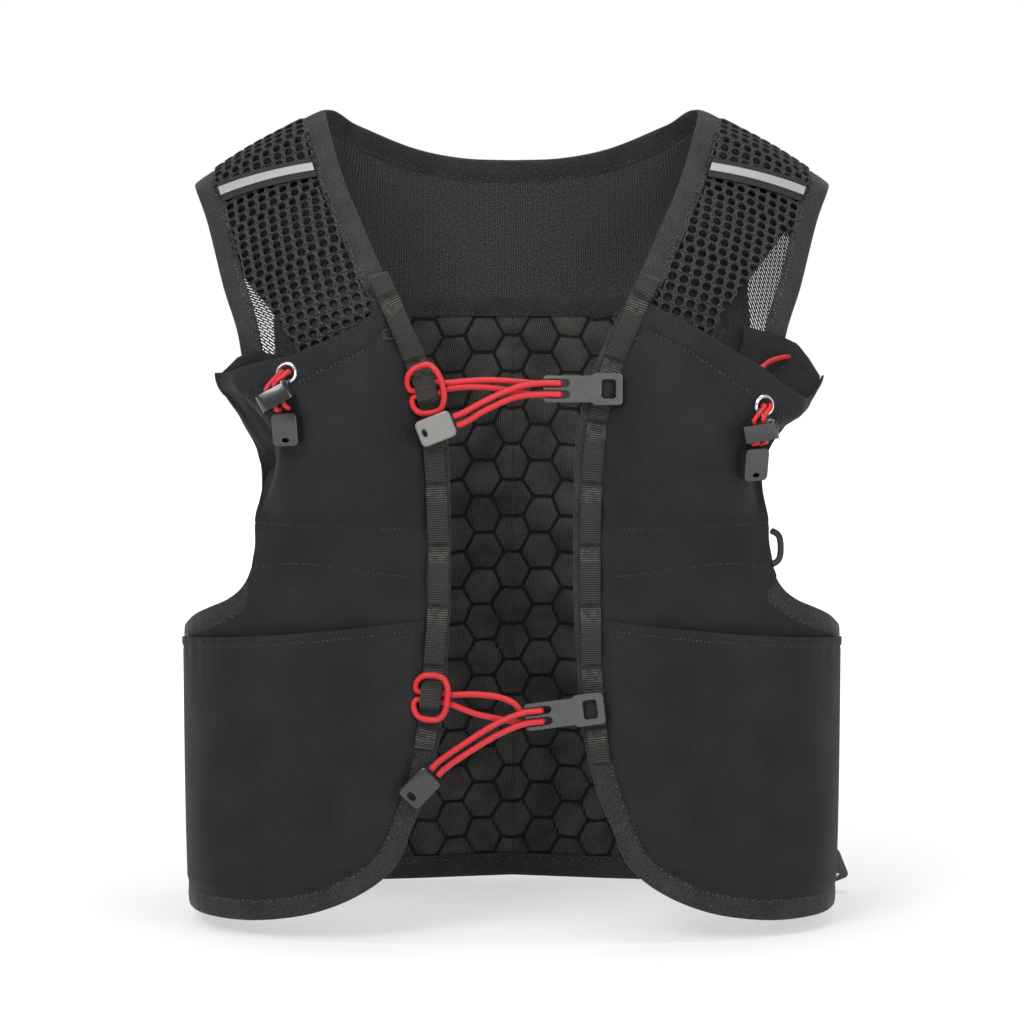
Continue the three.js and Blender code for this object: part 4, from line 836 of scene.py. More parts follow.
# The yarns part in the outer lower part of each strap, where its body shows
# light: from OPEN_FROM outward of the middle line, and up to OPEN_TOP.
OPEN_FROM = 14.0
OPEN_LEAN = 0.24
OPEN_TOP = 74
OPEN_MORE_RIGHT = 12
OPEN_FADE = 8
FACE_YARN_PITCH = 1.25
YARN_PITCH = 1.3
YARN_RUN = 5.0
STRAP = Table("xi yi zi xo yo zo camber", [
    (54.9, -87.5, 301, 133.4, -73.5, 274, 7), (63.5, -81, 317, 136.5, -68, 289, 6),
    (75, -60, 342, 143.5, -55, 308, 5), (82.5, -43, 358, 149, -40, 326, 4),
    (88, -27, 373, 154.5, -24, 343, 4), (93, -10, 389, 160, -10, 355.5, 4),
    (96, 8, 398.5, 162.5, 4, 360, 3),
])
STRAP_ROWS = len(STRAP.rows) - 1


def strap_base(k, w):
    row = STRAP.smooth(k)
    return between(row[..., :3], row[..., 3:6], w[..., None]), row[..., 6]


def strap_point(side, k, w, off=0.0):
    k, w, off = np.broadcast_arrays(*(np.asarray(a, float) for a in (k, w, off)))
    h = 0.02
    k0, k1 = np.maximum(0, k - h), np.minimum(STRAP_ROWS, k + h)
    along = strap_base(k1, w)[0] - strap_base(k0, w)[0]
    across = strap_base(k, np.ones_like(w))[0] - strap_base(k, np.zeros_like(w))[0]
    place, camber = strap_base(k, w)
    place = place + unit(np.cross(across, along)) * (camber * 4 * w * (1 - w) + off)[..., None]
    place[..., 0] *= side
    return place


def strap_width(k):
    k = np.asarray(k, float)
    a = strap_base(k, np.ones_like(k))[0] - strap_base(k, np.zeros_like(k))[0]
    return np.linalg.norm(a, axis=-1) * 1.01


strap_k = np.linspace(0, STRAP_ROWS, 300)
strap_middle = strap_point(1, strap_k, 0.5)
strap_run = run_of(strap_middle)


def on_strap(side, a, b, off):
    """Strap points by millimetres from its middle line and up from its foot."""
    k = np.interp(b, strap_run, strap_k)
    w = 0.5 + a / strap_width(k)
    foot = strap_point(side, 0.0, w, off)
    below = unit(foot - strap_point(side, 0.1, w, off)) * np.maximum(0, -np.asarray(b, float))[..., None]
    return strap_point(side, k, w, off) + below


def slits(finish, u, v, pitch, run, width):
    """Thin slanting gaps between yarns, in bricks: 1 on a gap."""
    lean = u * 0.80 + v * 0.60
    along = v * 0.80 - u * 0.60
    row = along + lean.maths("FLOOR", lean * (1 / pitch)) * (run * 0.5)
    gap = 1 - ((lean.saw(pitch) - 0.5).size() * 2).clear(width - 0.15, width + 0.15)
    bar = ((row.saw(run) - 0.5).size() * 2).clear(0.84, 0.9)
    return gap * (1 - bar)


def open_zone(finish, u, v):
    """1 in the outer lower part of a strap, where the yarns part."""
    outward = finish.read_part("cloth", 2)
    inner = outward - v * OPEN_LEAN + u.clear(0, 1) * OPEN_MORE_RIGHT
    return inner.clear(OPEN_FROM, OPEN_FROM + 1.5) * (1 - v.clear(OPEN_TOP, OPEN_TOP + OPEN_FADE))


def spacer_finish():
    finish = Finish("spacer_mesh", "spacer mesh face", tint(72, 72, 69), 0.7, Specular_IOR_Level=0.3,
                    Sheen_Weight=0.1)
    place, u, v = finish.flat()
    hole_shade_and_depth = finish.read_part("pattern")
    gaps = slits(finish, u, v, FACE_YARN_PITCH, YARN_RUN, 0.55)
    twist = (u * 1.3 + v * 0.7).wave(0.8)
    lit = finish.mix(twist * 0.6 + finish.noise(place, 1.5) * 0.5, tint(26, 26, 25), tint(78, 78, 75))
    shade = finish.mix(gaps * 0.6, lit, tint(14, 14, 14))
    # Painted shade: the walls and floors of the round holes are coloured near-black, darkest where the
    # strands lie lowest.
    finish.color(finish.mix(hole_shade_and_depth.clear(0.5, 1.0), tint(4, 4, 4), shade))
    finish.alpha(1 - open_zone(finish, u, v))
    finish.relief(twist + hole_shade_and_depth * 2, 0.25)
    return finish


# Painted shade: the backing is the same spacer yarn as the face, coloured near-black to stand for the shade
# inside the holes.
def shaded_backing_finish():
    finish = Finish("spacer_mesh", "spacer mesh yarns", tint(16, 16, 16), 0.6, Specular_IOR_Level=0.3)
    place, u, v = finish.flat()
    finish.color(finish.mix(finish.noise(place, 1.5), tint(4, 4, 4), tint(10, 10, 10)))
    finish.alpha(1 - slits(finish, u, v, YARN_PITCH, YARN_RUN, 0.46) * open_zone(finish, u, v))
    return finish


SPACER_FINISH = spacer_finish()
SHADED_BACKING_FINISH = shaded_backing_finish()
CELL_SIDES = 16
YARN_LAYERS = (-1.2, -1.7)
# The tone column paints shade: near-black where a ring lies low, in the holes and under the strands, and
# full strand colour on the tops.
STRAND_RINGS = Table("share height tone", [
    (0.0, -1.6, 0.0), (0.0, -0.7, 0.3), (0.2, -0.05, 0.9), (0.45, 0.2, 1.0), (0.78, -0.15, 0.85),
    (1.0, -0.6, 0.6), (1.0, -1.6, 0.0), (0.5, -1.7, 0.0),
])
ROWS_BELOW = 3


def cell_rim(n):
    """Points round a unit cell, a quarter of its side apart."""
    t = np.arange(n) / (n / 4)
    side, s = t.astype(int), t % 1 - 0.5
    x = np.choose(side, [s, 0.5 + 0 * s, -s, -0.5 + 0 * s])
    y = np.choose(side, [-0.5 + 0 * s, s, 0.5 + 0 * s, -s])
    return x, y


def strap_cells():
    """Flat centres of the holes that lie inside the strap's tapes."""
    cells = []
    length = strap_run[-1]
    for j in range(-ROWS_BELOW, int(length / HOLE_UP) + 1):
        b = (j + 0.5) * HOLE_UP
        if b > length - HOLE_UP * 0.4:
            continue
        half = strap_width(np.interp(b, strap_run, strap_k)) / 2 - TUCK + 1
        for i in range(-12, 13):
            a = (i + HOLE_LEAN * (j % 7) / 3.5) * HOLE_ACROSS
            if abs(a) < half - HOLE_ACROSS * 0.1:
                cells.append((a, b, half))
    return np.array(cells)


def spacer_mesh(name, side, carried):
    rim_x, rim_y = cell_rim(CELL_SIDES)
    angle = np.arctan2(rim_y, rim_x)
    hole_x, hole_y = np.cos(angle) * HOLE_RADIUS, np.sin(angle) * HOLE_RADIUS
    full_x, full_y = rim_x * HOLE_ACROSS, rim_y * HOLE_UP
    rings = STRAND_RINGS.rows
    cells = strap_cells()
    a, b, half = (cells[:, k][:, None] for k in range(3))
    points, pattern, flat = [], [], []
    for share, height, tone in rings:
        ring_a = np.clip(a + between(hole_x, full_x, share), -half, half)
        ring_b = np.minimum(b + between(hole_y, full_y, share), strap_run[-1] - 0.3)
        points.append(on_strap(side, ring_a, ring_b, STRAP_MESH / 2 + height))
        flat.append(np.stack([side * ring_a, ring_b, ring_a], axis=-1))
        slant = np.clip(1 - np.abs(np.sin(angle + math.pi / 4)), 0, 1) * share
        pattern.append(np.stack(np.broadcast_arrays(tone, slant[None] + 0 * a), axis=-1))
    points, flat, pattern = (np.stack(k, axis=1) for k in (points, flat, pattern))
    n, rows, columns = points.shape[:3]
    one = ring_faces(rows, columns, True)
    faces = (one[None] + (np.arange(n) * rows * columns)[:, None, None]).reshape(-1, 4)
    return mesh_piece(name, points.reshape(-1, 3), faces, SPACER_FINISH, carried,
                      cloth=flat.reshape(-1, 3), pattern=pattern.reshape(-1, 2))


for side_name, side in SIDES:
    strap = spacer_mesh(f"strap_face_{side_name}", side, [f"shoulder_strap_{side_name}"])
    u, v = shares(40, 66)
    b = between(-ROWS_BELOW * HOLE_UP, strap_run[-1], v)
    half = strap_width(np.interp(b, strap_run, strap_k)) / 2 - TUCK
    a = between(-half, half, u)
    layers = [on_strap(side, a, b, lift) for lift in YARN_LAYERS]
    layered_piece(f"strap_yarns_{side_name}", layers, SHADED_BACKING_FINISH, [f"shoulder_strap_{side_name}"],
                  cloth=np.stack([side * a, b, a], axis=-1))

# Reflective strips: a silver glass-bead strip on black woven tape, sewn
# across each strap below the shoulder seam.
TAPE_WALL = 1.0
TAPE_WIDTH = 13.5
STRIP_WALL = 0.8
STRIP_WIDTH = 5.6
STRAP_TAPE_GAP = 1.0
STRIP_ROW = (3.85, 4.4)
STRIP_LENGTH = 80
STRIP_EDGE_DROP = 0.35


def woven_finish():
    finish = Finish("carrier_tape", "black woven tape", tint(30, 30, 31), 0.65, Specular_IOR_Level=0.3)
    place, u, v = finish.flat()
    weave = u.wave(0.9) * v.wave(0.7)
    finish.color(finish.mix(weave.clear(0.1, 0.8), tint(20, 20, 21), tint(46, 46, 47)))
    finish.relief(weave, 0.15)
    return finish


def silver_finish():
    finish = Finish("reflective", "glass bead strip", tint(150, 152, 151), 0.5, Metallic=0.2,
                    Specular_IOR_Level=0.6)
    place, u, v = finish.flat()
    beads = finish.noise(place, 3.5, 1.0)
    hatch = (u + v).wave(1.3) * 0.5 + (u - v).wave(1.3) * 0.5
    tone = (beads * 0.7 + hatch * 0.3).clear(0.3, 0.7)
    finish.color(finish.mix(tone, tint(128, 131, 130), tint(160, 163, 162)))
    finish.relief(beads, 0.1)
    return finish


WOVEN_FINISH = woven_finish()
SILVER_FINISH = silver_finish()
for side_name, side in SIDES:
    lift = STRAP_MESH / 2 + STRAP_TAPE_GAP + TAPE_WALL / 2
    strips = [("strip_base", TAPE_WIDTH, TAPE_WALL, lift - 0.4, WOVEN_FINISH, "strip_tape"),
              ("silver_strip", STRIP_WIDTH, STRIP_WALL, lift + 0.6, SILVER_FINISH, "reflective_strip")]
    for label, width, wall, height, finish, node in strips:
        u, v = shares(90, 12)
        k = between(*STRIP_ROW, u)
        edge = BINDING_WIDTH / strap_width(k)
        w = between(edge, 1 - edge, u)
        step = np.linalg.norm(strap_point(1, k + 0.5, w) - strap_point(1, k - 0.5, w), axis=-1)
        row = k + (v - 0.5) * width / step
        worn = STRIP_EDGE_DROP * np.abs(2 * v - 1) ** 6
        layers = [strap_point(side, row, w, off) for off in (height + wall / 2 - worn, height - wall / 2)]
        flat = np.stack([w * STRIP_LENGTH, v * width], axis=-1)
        layered_piece(f"{label}_{side_name}", layers, finish, [f"{node}_{side_name}"], cloth=flat)

# Neck and armhole bindings: the same folded tape, in one length round the
# neck and one ring round each armhole.
k = np.linspace(0, STRAP_ROWS, 150)
t = np.linspace(0, 1, 150)[1:]
neck = yoke_point(1, NECK_SHARE, 0.0)
seam = NECK_SHARE
while np.linalg.norm(yoke_point(1, seam, 0.0) - neck) < BINDING_WIDTH:
    seam -= 0.002
u = between(NECK_SHARE, 1, t)
inner_share = between(between(seam, NECK_SHARE, np.minimum(1, t / 0.2)), u, ease(t, 0, 0.32))
inner_down = collar_inset(inner_share, BINDING_WIDTH, 0.004)
edge = np.concatenate([strap_point(1, k, 0.0), yoke_point(1, u, 0.0)])
inner = np.concatenate([strap_point(1, k, BINDING_WIDTH / strap_width(k)),
                        yoke_point(1, inner_share, inner_down)])
normal = np.concatenate([strap_point(1, k, 0.0, 1.0) - strap_point(1, k, 0.0),
                         yoke_point(1, u, 0.0, 1.0) - yoke_point(1, u, 0.0)])
parts = []
for part in (edge, inner, normal):
    mirror = part[::-1][1:] * (-1, 1, 1)
    parts.append(smoothed(np.concatenate([part, mirror]), 3, False))
binding("neck_tape", *parts, ["neck_binding"])

for side_name, side in SIDES:
    rings = []
    t = np.linspace(0, 1, 170)
    rings.append(body_tape(side, front_armhole(t), inset(front_armhole, BINDING_WIDTH)(t)))
    k = np.linspace(0, STRAP_ROWS, 110)[1:]
    low = strap_point(side, k, 1.0)
    rings.append((low, strap_point(side, k, 1 - BINDING_WIDTH / strap_width(k)),
                  strap_point(side, k, 1.0, 1.0) - low))
    v = np.linspace(0, 1, 90)[1:]
    low = yoke_point(side, 0.0, v)
    rings.append((low, yoke_point(side, outer_inset(v, BINDING_WIDTH), v),
                  yoke_point(side, 0.0, v, 1.0) - low))
    t = np.linspace(1, 0, 130)
    rings.append(body_tape(side, back_armhole(t), inset(back_armhole, -BINDING_WIDTH)(t)))
    t = np.linspace(1, 0, 40)[1:-1]
    top = side_top(t)
    edge = np.stack([between(seam_along, back_seam(top), t), top], axis=-1)
    inner = np.stack([between(seam_along, back_seam(top - BINDING_WIDTH), t), top - BINDING_WIDTH], axis=-1)
    rings.append(body_tape(side, edge, inner))
    parts = [smoothed(np.concatenate(p), 3, True) for p in zip(*rings)]
    binding(f"armhole_tape_{side_name}", *parts, [f"armhole_binding_{side_name}"], ring=True)

# Chest pockets: stretch cloth pouches, sewn down at the bottom and along the
# opening, with an elastic casing round the mouth; the outer side falls in
# folds, and the cloth behind the mouth shows at its outer end.
POCKET_WALL = 1.2
POCKET_INSET = 18.0
POCKET_BASE = 2.5
POCKET_RIM_LIFT = 1.6
POCKET_REACH = 150
POCKET_BACK_ROW = 4.2
LAYER_GAP = 0.5
RIM_DIP = {"left": 5, "right": 7}
CASING = 11.0
CHEST_POCKET = Table("zi zo xo bulge edge", [
    (161, 164, 126, 0, 0), (176, 176, 126, 0.5, 0), (188, 189, 126, 3, 0), (204, 204, 123.5, 10, 0.1),
    (222, 218, 121.5, 15, 0.25), (240, 232, 127, 18, 0.4), (262, 246, 137, 20, 0.5),
    (282, 259, 146, 20, 0.6), (299, 271, 149, 15, 0.7),
])
POCKET_SECTION = Table("u depth", [
    (0, 0), (0.1, 0.25), (0.25, 0.8), (0.5, 1), (0.7, 0.97), (0.87, 0.85), (1, 0.7),
])
CHEST_ROWS = len(CHEST_POCKET.rows) - 1
pocket_edge = inset(front_edge, lambda t: between(POCKET_INSET, SIDE_INSET, ease(t, 0.5, 0.7)))


def share_at_height(curve, z):
    t = np.linspace(0, 1, 2001)
    heights = curve(t)[:, 1]
    return t[np.abs(heights[None] - np.ravel(z)[:, None]).argmin(axis=1)].reshape(np.shape(z))


def chest_flat(side_name, u, v):
    r = np.linspace(0, 1, 241)
    rows = CHEST_POCKET.smooth(r * CHEST_ROWS)
    inner = pocket_edge(share_at_height(pocket_edge, rows[:, 0]))[:, 0]
    inner = smoothed(inner, 2, False)
    outer = along_at(np.minimum(rows[:, 2], POCKET_REACH), rows[:, 1])
    dip = RIM_DIP[side_name] * np.sin(np.pi * np.minimum(1, u / 0.9)) * ease(v, 0.6, 1)
    z = between(np.interp(v, r, rows[:, 0]), np.interp(v, r, rows[:, 1]), u) - dip
    return np.stack([between(np.interp(v, r, inner), np.interp(v, r, outer), u), z], axis=-1)


def chest_off(u, v):
    row = CHEST_POCKET.smooth(v * CHEST_ROWS)
    section = POCKET_SECTION.at("u", u, "depth")
    lift = POCKET_BASE + POCKET_RIM_LIFT * ease(v, 0.8, 1)
    return lift + row[..., 3] * between(section, row[..., 4], ease(u, 0.8, 1))


def chest_point(side_name, side, u, v, more=0.0):
    u, v, more = np.broadcast_arrays(*(np.asarray(a, float) for a in (u, v, more)))
    place = chest_flat(side_name, u, v)
    return on_body(side, place[..., 0], place[..., 1], chest_off(u, v) + more)


# The cloth as it hangs: it runs on down behind the lower pocket, its inner
# edge goes under the webbing, and its outer corner is drawn in and down.
CLOTH_EDGE = 10.8
EDGE_LIFT = 0.6
OUT_OF_TUCK = {"left": (146, 170), "right": (157, 168)}
DRAPED = Table("zi zo xo bulge edge", np.concatenate([
    [(122, 120, 160, 0, 0), (142, 143, 150, 0, 0)], CHEST_POCKET.rows]))
DRAPED_ROWS = len(DRAPED.rows) - 1
PULL = {"left": 17.0, "right": 9.0}
RIM_DROP = {
    "left": Table("u drop", [
        (0, -2), (0.1, 5), (0.17, 6.5), (0.27, 8.3), (0.33, 8.4), (0.38, 9.6), (0.5, 9), (0.7, 8),
        (0.87, 8), (1, 5),
    ]),
    "right": Table("u drop", [
        (0, -3), (0.1, -2), (0.35, 3), (0.55, 9.7), (0.74, 17), (0.84, 20), (0.93, 17), (1, 6),
    ]),
}
MOUTH_FROM = 0.5
MOUTH_DROP = {
    "left": Table("share drop", [(0.5, 4), (0.74, -2), (0.9, 0), (1, 6)]),
    "right": Table("share drop", [(0.5, -12), (0.74, -11), (0.88, -7), (0.95, -1), (1, 6)]),
}
FOLDS = {
    "left": [
        (127, 256, 111, 236, 4, -6.5), (111, 236, 124, 205, 4.5, -6), (133, 250, 121, 232, 3.5, 3.5),
        (104, 262, 92, 244, 5, 1.4), (104, 232, 122, 200, 5, 1.8), (62, 268, 96, 262, 4, -0.8),
        (124, 226, 128, 206, 3, 2.5), (52, 244, 74, 230, 8, 0.8), (92, 214, 60, 196, 8, 0.7),
        (130, 196, 128, 176, 3, -1.6), (120, 182, 150, 152, 4, -1.3),
    ],
    "right": [
        (128, 244, 118, 222, 4.5, -4.0), (118, 222, 124, 200, 4.5, -3.0), (134, 232, 124, 212, 3.5, 2.2),
        (66, 282, 92, 262, 5, -0.7), (58, 240, 84, 222, 9, 0.9), (92, 210, 62, 192, 8, 0.7),
        (128, 196, 126, 176, 3, -1.2),
    ],
}


def folds(a, b, rows):
    """Creases along lines: a0 b0 a1 b1 width height, in millimetres."""
    lift = np.zeros(np.shape(a))
    for a0, b0, a1, b1, width, height in rows:
        da, db = a1 - a0, b1 - b0
        t = np.clip(((a - a0) * da + (b - b0) * db) / (da * da + db * db), 0, 1)
        away = np.hypot(a - a0 - t * da, b - b0 - t * db)
        crease = np.exp(-np.sqrt(1 + (away / width * 2) ** 2) + 1)
        lift = lift + height * crease * (0.4 + 0.6 * np.sin(np.pi * t))
    return lift


def armhole_side(z, distance):
    t = np.linspace(0, 1, 400)
    line = inset(front_armhole, distance)(t)
    order = np.argsort(line[:, 1])
    return np.interp(z, line[order, 1], line[order, 0])


def stitch_rows(u):
    """Heights of the two rows sewn across the chest."""
    return 192 + 1.5 * u, 168.3 + 6 * ease(u, 0, 0.75) - 3 * ease(u, 0.75, 1)


def draped_chest(side_name, side, nu, nv):
    u, v = shares(nu, nv)
    rows = DRAPED.smooth(v[:, 0] * DRAPED_ROWS)
    edge = inset(front_edge, CLOTH_EDGE)
    inner = smoothed(edge(share_at_height(edge, rows[:, 0]))[:, 0], 2, False)
    high = along_at(np.minimum(rows[:, 2], POCKET_REACH), rows[:, 1])
    tuck = between(TUCK, 0.6, ease(rows[:, 1], *OUT_OF_TUCK[side_name]))
    low = np.array([armhole_side(z, d) for z, d in zip(rows[:, 1], tuck)])
    outer = between(low, high, ease(rows[:, 1], 180, 200))
    z0 = between(rows[:, 0][:, None], rows[:, 1][:, None], u)
    dip = RIM_DIP[side_name] * np.sin(np.pi * np.minimum(1, u / 0.9)) * ease(v, 0.68, 1)
    drop = dip + RIM_DROP[side_name].at("u", u, "drop") * ease(v, 0.62, 1)
    z = z0 - drop
    settled = np.stack([np.interp(z[:, i], z0[:, i], v[:, i]) for i in range(nu + 1)], axis=1)
    width = (outer - inner)[:, None]
    pull = PULL[side_name] * ease(u, 0.5, 1) * ease(v, 0.55, 1.0)
    a = between(inner[:, None], outer[:, None], u) - pull
    row = DRAPED.smooth(settled * DRAPED_ROWS)
    section = POCKET_SECTION.at("u", np.clip(u - pull / width, 0, 1), "depth")
    rim_edge = row[..., 4] * between(0.3, 1, ease(v, 0.8, 1))
    lift = between(EDGE_LIFT, POCKET_BASE, ease(u, 0, 0.06)) + POCKET_RIM_LIFT * ease(settled, 0.85, 1)
    lift = lift - 0.9 * (1 - ease(v, 0, 0.12))
    off = lift + row[..., 3] * between(section, rim_edge, ease(u, 0.78, 1))
    below = z[-1][None] - z
    casing = 0.9 * np.sin(np.pi * np.clip(below / CASING, 0, 1)) ** 0.6
    groove = -0.5 * np.exp(-((below - CASING) / 0.9) ** 2)
    wave = np.sin(a * 1.0 + 1.5 * np.sin(a * 0.31))
    gathers = 0.22 * wave * ease(below, 0, 3) * (1 - ease(below, CASING, CASING + 14))
    near = np.min([np.abs(z - row_z) for row_z in stitch_rows(u)], axis=0)
    seams = -0.45 * np.exp(-(near / 0.8) ** 2) + 0.16 * wave * np.exp(-(near / 5) ** 2)
    drape = 0.7 * np.sin(a * 0.09 + z * 0.05) * np.sin(z * 0.07 + 0.4) + 0.4 * np.sin(a * 0.17 - z * 0.11)
    creases = folds(a, z, FOLDS[side_name]) * ease(below, 1, 12)
    off = off + casing + groove + gathers + seams + (drape + creases) * ease(u, 0.02, 0.2)
    layers = cloth_layers(side, a, z, off, POCKET_WALL)
    return layers, np.stack([a, z], axis=-1), np.stack([below, near, u < 0.1], axis=-1)


def pocket_finish():
    finish = shell_finish("pocket cloth", tint(33, 33, 36), tint(17, 17, 19))
    below, near, under_webbing = (finish.read_part("marks", k) for k in range(3))
    place, u, v = finish.flat()
    row = (1 - (below - CASING).size().least(near).clear(0.25, 0.6)) * (1 - under_webbing)
    thread = row * u.saw(1.9).clear(0.3, 0.5)
    base = Value(finish, finish.surface.inputs["Base Color"].links[0].from_socket)
    # Painted shade: the sunk stitch rows and the groove under the casing are coloured darker.
    dented = finish.mix(row * 0.7, base, tint(15, 15, 16))
    glint = thread * finish.noise(place, 1.3, 1.0).clear(0.4, 0.6)
    finish.color(finish.mix(glint * 0.6, dented, tint(72, 72, 76)))
    finish.relief(grain(finish, place, u, v) * 0.6 + thread * 1.2 - row, 0.14)
    return finish


CHEST_FINISH = pocket_finish()
for side_name, side in SIDES:
    layers, place, marks = draped_chest(side_name, side, 130, 176)
    piece = layered_piece(f"chest_pouch_{side_name}", layers, CHEST_FINISH, [f"chest_pocket_{side_name}"],
                          cloth=place, marks=marks)
    u, v = shares(50, 70)
    row = between(POCKET_BACK_ROW / CHEST_ROWS, 1, v)
    share = between(MOUTH_FROM, 1, u)
    behind = np.maximum(POCKET_BASE + 0.3, chest_off(np.ones_like(u), row) - POCKET_WALL - LAYER_GAP)
    place = chest_flat(side_name, share, row)
    lift = between(POCKET_BASE + 0.3, behind, u ** 3)
    drawn = PULL[side_name] * ease(share, 0.5, 1) * ease(row, 0.4, 1) + 5 * u * (1 - v)
    low = MOUTH_DROP[side_name].at("share", share, "drop") * v ** 2
    roll = 0.8 * np.sin(np.pi * np.clip((1 - v) * 7, 0, 1)) ** 0.6
    layers = cloth_layers(side, place[..., 0] - drawn, place[..., 1] - low, lift + roll, POCKET_WALL)
    layered_piece(f"mouth_back_{side_name}", layers, PANEL_FINISH, [f"pocket_back_{side_name}"], cloth=place)

# Lower pockets: flat stretch cloth over the lower front, open along the top,
# where an elastic hem draws it into small puckers between two bartacks.
LOWER_TOP = ((44, 147.5), (163, 133))
LOWER_BULGE = 7.5
LOWER_BASE = 2.0
LOWER_HEM = 4.5
NO_ROW = 9
PUCKER_SHARE = {"left": 1.0, "right": 0.6}
cloth_edge = inset(front_edge, CLOTH_EDGE)
pocket_left = part_of(cloth_edge, 0, corner_share)
lower_from = float(share_at_height(pocket_left, np.array(LOWER_TOP[0][1]))) * corner_share
lower_left = part_of(cloth_edge, corner_share, lower_from)
lower_bottom = part_of(cloth_edge, corner_share, 1)


def lower_right(t):
    z = between(lower_bottom(1.0)[1], LOWER_TOP[1][1], np.asarray(t, float))
    return np.stack([np.full(z.shape, seam_along - EDGE_GAP), z], axis=-1)


lower_patch = patch(lower_left, lower_bottom, lower_right, line(lower_left(1.0), lower_right(1.0), 1.0))


def lower_off(u, v):
    base = between(EDGE_LIFT, LOWER_BASE, ease(u, 0, 0.05) * ease(v, 0, 0.05))
    return base + LOWER_BULGE * np.sin(np.pi * u) ** 0.7 * ease(v, -0.1, 0.9)


for side_name, side in SIDES:
    u, v = shares(112, 104)
    place = lower_patch(u, v)
    a, z = place[..., 0], place[..., 1]
    top_z = lower_patch(u[-1], np.ones(u.shape[1]))[:, 1]
    below = top_z[None] - z
    hem = 0.5 * (1 - ease(below, LOWER_HEM - 0.8, LOWER_HEM + 0.4))
    hem = hem - 0.35 * np.exp(-((below - LOWER_HEM) / 0.7) ** 2)
    pucker = 0.2 * np.sin(a * 0.8 + 2 * np.sin(a * 0.13)) * np.exp(-(below / 16) ** 2)
    drape = 0.7 * np.sin(a * 0.045 + 0.6) * np.sin(z * 0.035) + 0.35 * np.sin(a * 0.09 - z * 0.06)
    free = ease(u, 0, 0.15) * ease(1 - u, 0, 0.15) * ease(v, 0, 0.15)
    off = lower_off(u, v) + hem + pucker * PUCKER_SHARE[side_name] + drape * free
    layers = cloth_layers(side, a, z, off, POCKET_WALL)
    marks = np.stack([below - LOWER_HEM + CASING, np.full(below.shape, NO_ROW)], axis=-1)
    piece = layered_piece(f"lower_pouch_{side_name}", layers, CHEST_FINISH, [f"lower_pocket_{side_name}"],
                          cloth=place, marks=marks)

# Daisy chains: ribbed webbing tacked down each front at even steps, with low
# loops between the tacks.
WEBBING_WIDTH = 10.0
WEBBING_WALL = 1.4
WEBBING_LIFT = 2.0
WEBBING_BASE = BINDING_WALL / 2 + LAYER_GAP + WEBBING_WALL / 2
TACK_PITCH = 29.8
TACK_FIRST = 303.5
TACKS = 8
HITCH_LIFT = 4.0
HOOK_LIFT = 2.6
CHAIN_TOP_RISE = 3.0
WEBBING_PROFILE = Table("across rise", [
    (-0.5, 0.3), (-0.46, 0.5), (-0.2, 0.5), (0.2, 0.5), (0.46, 0.5), (0.5, 0.3),
    (0.5, -0.3), (0.46, -0.5), (0.2, -0.5), (-0.2, -0.5), (-0.46, -0.5), (-0.5, -0.3),
])
HITCH_Z = {"upper": 258.8, "lower": 109.8}
HOOK_Z = {"upper": 259.3, "lower": 104.3}
CHAINS = {
    "left": Table("z x", [
        (314, 65.5), (294.5, 56.3), (273, 47.4), (259, 41.6), (233, 38), (186, 35.8), (155, 36),
        (126, 38), (95, 41), (84, 43),
    ]),
    "right": Table("z x", [
        (313, 67.5), (303, 62), (270, 48.5), (242, 41.5), (214, 38.8), (183, 38), (150, 38.3),
        (121, 39), (77, 43),
    ]),
}


def webbing_lift(side_name, z):
    n = (TACK_FIRST - z) / TACK_PITCH
    inside = (n > 0) & (n < TACKS - 1)
    lift = CHAIN_TOP_RISE * ease(z, 294, 304) + inside * WEBBING_LIFT * np.sin(np.pi * n) ** 2
    heights, rise, flat, end = ((HITCH_Z, HITCH_LIFT, 4.2, 8.8) if side_name == "left"
                                else (HOOK_Z, HOOK_LIFT, 5, 9.2))
    for height in heights.values():
        away = np.abs(z - height)
        lift = np.where(away < TACK_PITCH / 2, rise * (1 - ease(away, flat, end)), lift)
    return lift


def webbing_point(side_name, side, z, across, off):
    table = CHAINS[side_name]
    slope = (table.at("z", z + 1, "x") - table.at("z", z - 1, "x")) / 2
    length = np.hypot(1, slope)
    along = along_at(table.at("z", z, "x"), z)
    return on_body(side, along + across / length, z - across * slope / length, off)


def webbing_finish():
    finish = Finish("webbing", "ribbed webbing", tint(50, 50, 46), 0.6, Specular_IOR_Level=0.35)
    place, u, v = finish.flat()
    ribs = u.wave(1.15)
    tack = finish.read_part("marks")
    yarn = ribs * 0.75 + v.wave(0.8) * 0.25
    lit = 1 - (tack + 5.0).size().clear(1, 6)
    shine = lit * finish.noise(place, 0.35, 1.0).clear(0.35, 0.6)
    crest_with_highlight = finish.mix(shine, tint(50, 50, 46), tint(88, 87, 80))
    body = finish.mix(yarn.clear(0.25, 0.95), tint(9, 9, 8), crest_with_highlight)
    bar = (1 - tack.size().clear(0.8, 1.4)) * v.wave(0.9)
    finish.color(finish.mix(bar, body, tint(14, 14, 14)))
    finish.relief(yarn + bar, 0.4)
    return finish


